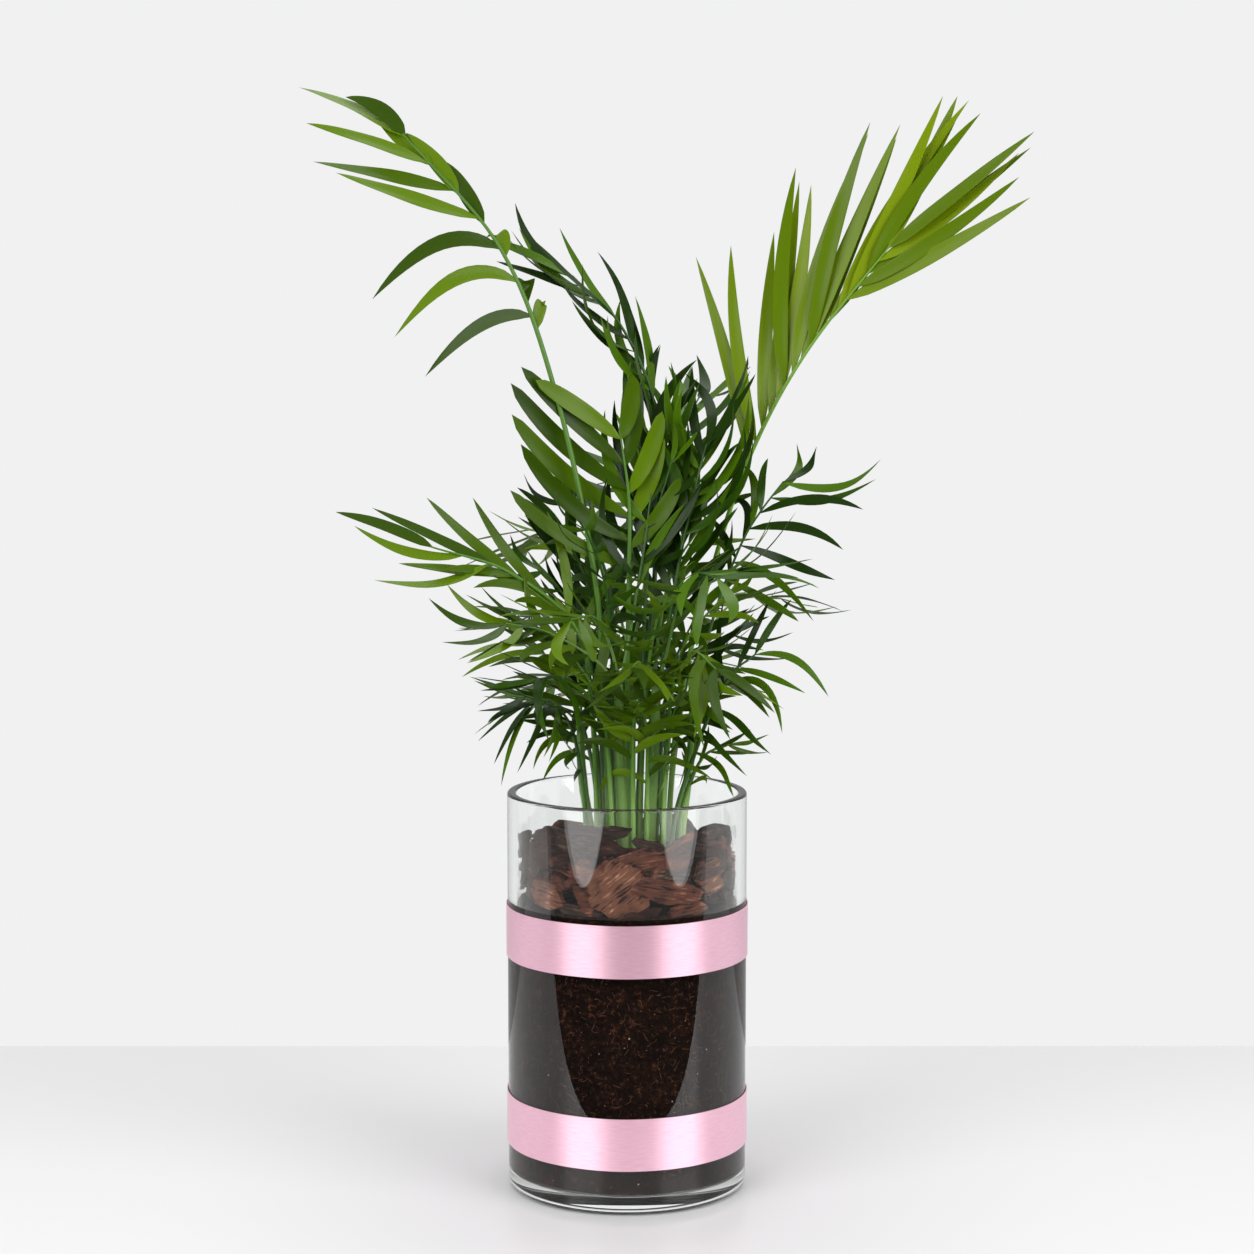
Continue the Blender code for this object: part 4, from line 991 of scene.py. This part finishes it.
def keptInGlass(points):
    # points past the glass are drawn in to it, and the chip's outer face lies on it
    radius = np.linalg.norm(points[:, :2], axis=1)
    limit = barkShape["reach"]
    pressed = limit - 0.004 * (1 - np.exp(-(radius - limit) / barkShape["press"])) * limit
    points = points.copy()
    points[:, :2] *= (np.where(radius > limit, pressed, radius) / np.maximum(radius, 1e-9))[:, None]
    points[:, 2] = np.minimum(points[:, 2], barkShape["ceiling"])
    return points


def facing(bearing, tilt, lean):
    # columns: along the chip, up it, and out of its face, which looks outwards at a bearing
    out, side, up = polar(1, bearing), polar(1, bearing + math.pi / 2), np.array((0.0, 0, 1))
    out, up = math.cos(lean) * out + math.sin(lean) * up, math.cos(lean) * up - math.sin(lean) * out
    along = math.cos(tilt) * side + math.sin(tilt) * up
    return np.stack((along, np.cross(out, along), out), axis=1)


def sizes(source, *ranges):
    # half sizes in mm, each from its low value and what chance adds to it
    return np.array([low + more * source.rand() for low, more in ranges]) * mm


def frontChipPlaces(source):
    # the chips of the table, whose faces turn further down the deeper they lie
    chips = []
    for x, z, depth, long, tall, tilt, tone in frontChips:
        bearing = -math.acos(x * mm / barkShape["reach"])
        out = barkShape["reach"] - (1.6 + depth) * mm
        middle = np.array((x * mm * out / barkShape["reach"], out * math.sin(bearing), z * mm))
        half = (long * mm, tall * mm, (0.9 + 0.5 * source.rand()) * mm)
        turn = facing(bearing, math.radians(tilt), math.radians(6 - 1.4 * depth))
        chips.append((middle, half, turn, tone))
    return chips


def heapedChipPlaces(source):
    # tiers round the wall, save where the front chips are, and a spiral of flat ones inside
    chips = []
    hidden, shown = np.radians(barkShape["seen"])
    for height, count, turn in barkShape["tiers"]:
        for k in range(count):
            bearing = fullTurn * (k + turn + 0.4 * (source.rand() - 0.5)) / count
            if hidden < bearing % fullTurn < shown:
                continue
            half = sizes(source, (10, 6), (3, 3.5), (0.9, 0.7))
            out = barkShape["reach"] - (1.5 + 6 * source.rand()) * mm
            middle = polar(out, bearing, height + 4 * mm * (source.rand() - 0.5))
            tilt, lean = math.radians(40 * (source.rand() - 0.5)), math.radians(30 * (source.rand() - 0.3))
            chips.append((middle, half, facing(bearing, tilt, lean), source.randint(0, 4)))
    inside = barkShape["inside"]
    for k in range(inside):
        bearing = barkShape["spiral"] * k
        out = barkShape["insideReach"] * math.sqrt((k + 0.5) / inside)
        half = sizes(source, (9, 6), (6, 4), (1.4, 1.2))
        middle = polar(out, bearing, (154 + 22 * source.rand()) * mm)
        lean = math.radians(90 - 88 * (source.rand() - 0.5))
        turn = facing(fullTurn * source.rand(), 0.5 * source.rand(), lean)
        chips.append((middle, half, turn, source.randint(0, 4)))
    return chips


def layChips(name, chips, rows, around, seed):
    # chips in one mesh, each with a seed of its own and one of the four browns
    parts = []
    for k, (middle, half, turn, tone) in enumerate(chips):
        points, quads, tris, uv = barkChip(middle, half, turn, seed + 7 * k, rows, around)
        parts.append((keptInGlass(points), quads, tris, uv, tone))
    makePiece(name, joined(parts), barkMaterials, "bark", ["bark"], sharp=24)
    return len(parts)


source = np.random.RandomState(21)
total = layChips("bark_chips_front", frontChipPlaces(source), *barkShape["front"], 300)
total += layChips("bark_chips_heap", heapedChipPlaces(source), *barkShape["heap"], 510)
print("bark laid,", total, "chips")

ribbonShape = {
    "radius": 60.5 * mm, "thickness": 0.3 * mm, "width": 26 * mm,
    "heights": {"ribbon_lower": 22.8 * mm, "ribbon_upper": 117.8 * mm},
    "lap": 14 * mm, "lapStep": 0.08, "lapLift": 1.35, "selvage": 0.09 * mm, "ripple": 0.12 * mm,
    "edge": 0.10 * mm, "around": 260, "columns": 17, "bead": (0.02, 0.018),
}


def tieRibbon(name, bottom):
    # a flat strip wound once round the glass and lapped over its own start at the back: the
    # radius steps up by a smooth S over the lap, its edges are beaded and it ripples slightly
    width, thickness, out, columns, step = pick(ribbonShape, "width thickness radius columns lapStep")
    lap = ribbonShape["lap"] / out
    angle = math.pi / 2 - lap / 2 + np.linspace(0, fullTurn + lap, ribbonShape["around"])[:, None]
    share = np.clip((angle - angle[0] - fullTurn + step) / step, 0, 1)
    lift = ribbonShape["lapLift"] * thickness * share * share * (3 - 2 * share)
    across = np.linspace(0.004, 0.996, columns)
    across = np.concatenate((across, across[::-1]))
    side = np.repeat((-1.0, 1.0), columns)
    beadAt, beadWidth = ribbonShape["bead"]
    bead = ((np.minimum(across, 1 - across) - beadAt) / beadWidth) ** 2
    bead = ribbonShape["selvage"] * np.exp(-bead)
    wave = ribbonShape["ripple"] * ripple(angle * 3, across * 2.5, sum(map(ord, name)), 7)
    wave = wave - wave.min()
    radius = out + lift + side * (thickness / 2 + bead) + 0.5 * wave
    edge = ribbonShape["edge"] * ripple(angle * 5, 0 * angle, 8, 6)
    rings = polar(radius, angle, bottom + edge + width * across)
    uv = np.stack(np.broadcast_arrays((angle - angle[0]) * out, width * across), -1) / cm
    uv = np.vstack((uv.reshape(-1, 2), uv[-1].mean(axis=0), uv[0].mean(axis=0)))
    shape = (*closed(rings, (rings[-1].mean(axis=0), rings[0].mean(axis=0))), uv)
    makePiece(name + "_satin", shape, [satin], "satin", [name], sharp=50)


for name, bottom in ribbonShape["heights"].items():
    tieRibbon(name, bottom)
print("ribbons tied")

studio = {
    "lens": 2622 / 1254 * 36, "sensor": 36, "clip": (0.05, 20), "eye": (0, -1.30, 0.4107), "pitch": 84.36,
    "table": ((-1.3, 1.3), (-0.19, 0.263)),  # a shelf: its far edge is the line behind the vase,
    # and its near edge, below the picture, is where the glass stops mirroring it
    "tableDrop": 0.02 * mm,
    "air": "#F1F1F2", "ambient": (0.05, 0.58), "behind": 0.45, "inFront": 0.008, "throughGlass": 0.45,
    "strips": {"left": -42, "right": 52},  # bearing from the camera's side
    "strip": {"size": (1.15, 1.3), "height": 0.85, "aim": 0.25, "watts": 17.5},
    "card": {"size": (1.7, 0.44), "height": 0.075, "aim": 0.17, "watts": 3.9},  # a dim oval below it
    "away": 1.6,
    "top": {"size": (1.4, 1.1), "place": (0, 0.5, 1.8), "aim": (0, 0.1, 0.2), "watts": 11.5},
}
white = (1, 1, 1, 1)


def layTable():
    # a pale lacquered table top, smooth and softly glossy: its far edge is the line behind the vase
    (left, right), (near, far) = studio["table"]
    x, y = np.meshgrid(np.linspace(left, right, 9), np.linspace(near, far, 7))
    points = np.stack((x, y, 0 * x - studio["tableDrop"]), axis=-1)
    lacquer = newMaterial("table lacquer, pale", "#ECECED", {"Roughness": 0.28, "Specular IOR Level": 0.4})
    makePiece("table_top", (points, gridFaces(7, 9, closedAround=False)), [lacquer], None, [])


def hangLight(name, place, aim, size, watts, shape="RECTANGLE"):
    # an area light at a place, facing what it is aimed at
    data = bpy.data.lights.new(name, "AREA")
    data.shape, data.energy = shape, watts
    data.size, data.size_y = size
    light = bpy.data.objects.new(name, data)
    light.location = place
    away = unit(np.array(place, float) - np.array(aim, float))
    light.rotation_euler = (math.acos(away[2]), 0, math.atan2(away[0], -away[1]))
    light.visible_camera = False
    bpy.context.scene.collection.objects.link(light)


def glow(tree, strength, colour=white):
    # plain light of one colour
    sockets = {"Color": colour, "Strength": strength}
    return addNode(tree, "ShaderNodeBackground", None, sockets).outputs["Background"]


def climb(tree, value, low, high, start, end, smooth="SMOOTHSTEP"):
    # a value that goes from start to end while another goes from low to high
    return addNode(tree, "ShaderNodeMapRange", {"interpolation_type": smooth}, {
        "Value": value, "From Min": low, "From Max": high, "To Min": start, "To Max": end,
    }).outputs["Result"]


def choose(tree, share, first, second):
    # the first shader where the share is 0, the second where it is 1
    return addNode(tree, "ShaderNodeMixShader", None, {0: share, 1: first, 2: second}).outputs["Shader"]


def makeAir():
    # plain pale surroundings: what is seen is even, and what is mirrored is dark towards the
    # front and below, where the room is unlit, rising smoothly to the pale wall behind
    world = bpy.data.worlds.new("pale studio")
    world.use_nodes = True
    tree = world.node_tree
    tree.nodes.clear()
    seen = glow(tree, 1.0, hexToLinear(studio["air"]))
    place = addNode(tree, "ShaderNodeTexCoord").outputs["Generated"]
    split = addNode(tree, "ShaderNodeSeparateXYZ", None, {"Vector": place}).outputs
    lit = glow(tree, climb(tree, split["Z"], -0.2, 0.9, *studio["ambient"], smooth="LINEAR"))
    wall = climb(tree, split["Y"], -0.35, 0.35, studio["inFront"], studio["behind"])
    above = climb(tree, split["Z"], 0.15, 0.9, 0.0, studio["behind"])
    higher = combine(tree, "MAXIMUM", wall, above)
    rays = addNode(tree, "ShaderNodeLightPath").outputs
    strength = combine(tree, "MULTIPLY_ADD", rays["Is Transmission Ray"], studio["throughGlass"], higher)
    both = choose(tree, rays["Is Glossy Ray"], seen, glow(tree, strength))
    both = choose(tree, rays["Is Diffuse Ray"], both, lit)
    addNode(tree, "ShaderNodeOutputWorld", None, {"Surface": both})
    bpy.context.scene.world = world


def setCamera():
    # the camera that the outline of the vase in the photograph gave
    data = bpy.data.cameras.new("camera")
    data.sensor_width = studio["sensor"]
    data.sensor_fit = "HORIZONTAL"
    data.lens = studio["lens"]
    data.clip_start, data.clip_end = studio["clip"]
    camera = bpy.data.objects.new("camera", data)
    camera.location = studio["eye"]
    camera.rotation_euler = (math.radians(studio["pitch"]), 0, 0)
    bpy.context.scene.collection.objects.link(camera)
    bpy.context.scene.camera = camera


layTable()
makeAir()
for side, bearing in studio["strips"].items():
    turn, away = math.radians(bearing), studio["away"]
    for kind, shape in (("strip", "RECTANGLE"), ("card", "ELLIPSE")):
        light = studio[kind]
        place = (away * math.sin(turn), -away * math.cos(turn), light["height"])
        hangLight(f"{kind}_{side}", place, (0, 0, light["aim"]), light["size"], light["watts"], shape)
top = studio["top"]
hangLight("top", top["place"], top["aim"], top["size"], top["watts"])
setCamera()
bpy.context.scene.view_settings.view_transform = "Standard"
bpy.context.scene.view_settings.look = "None"
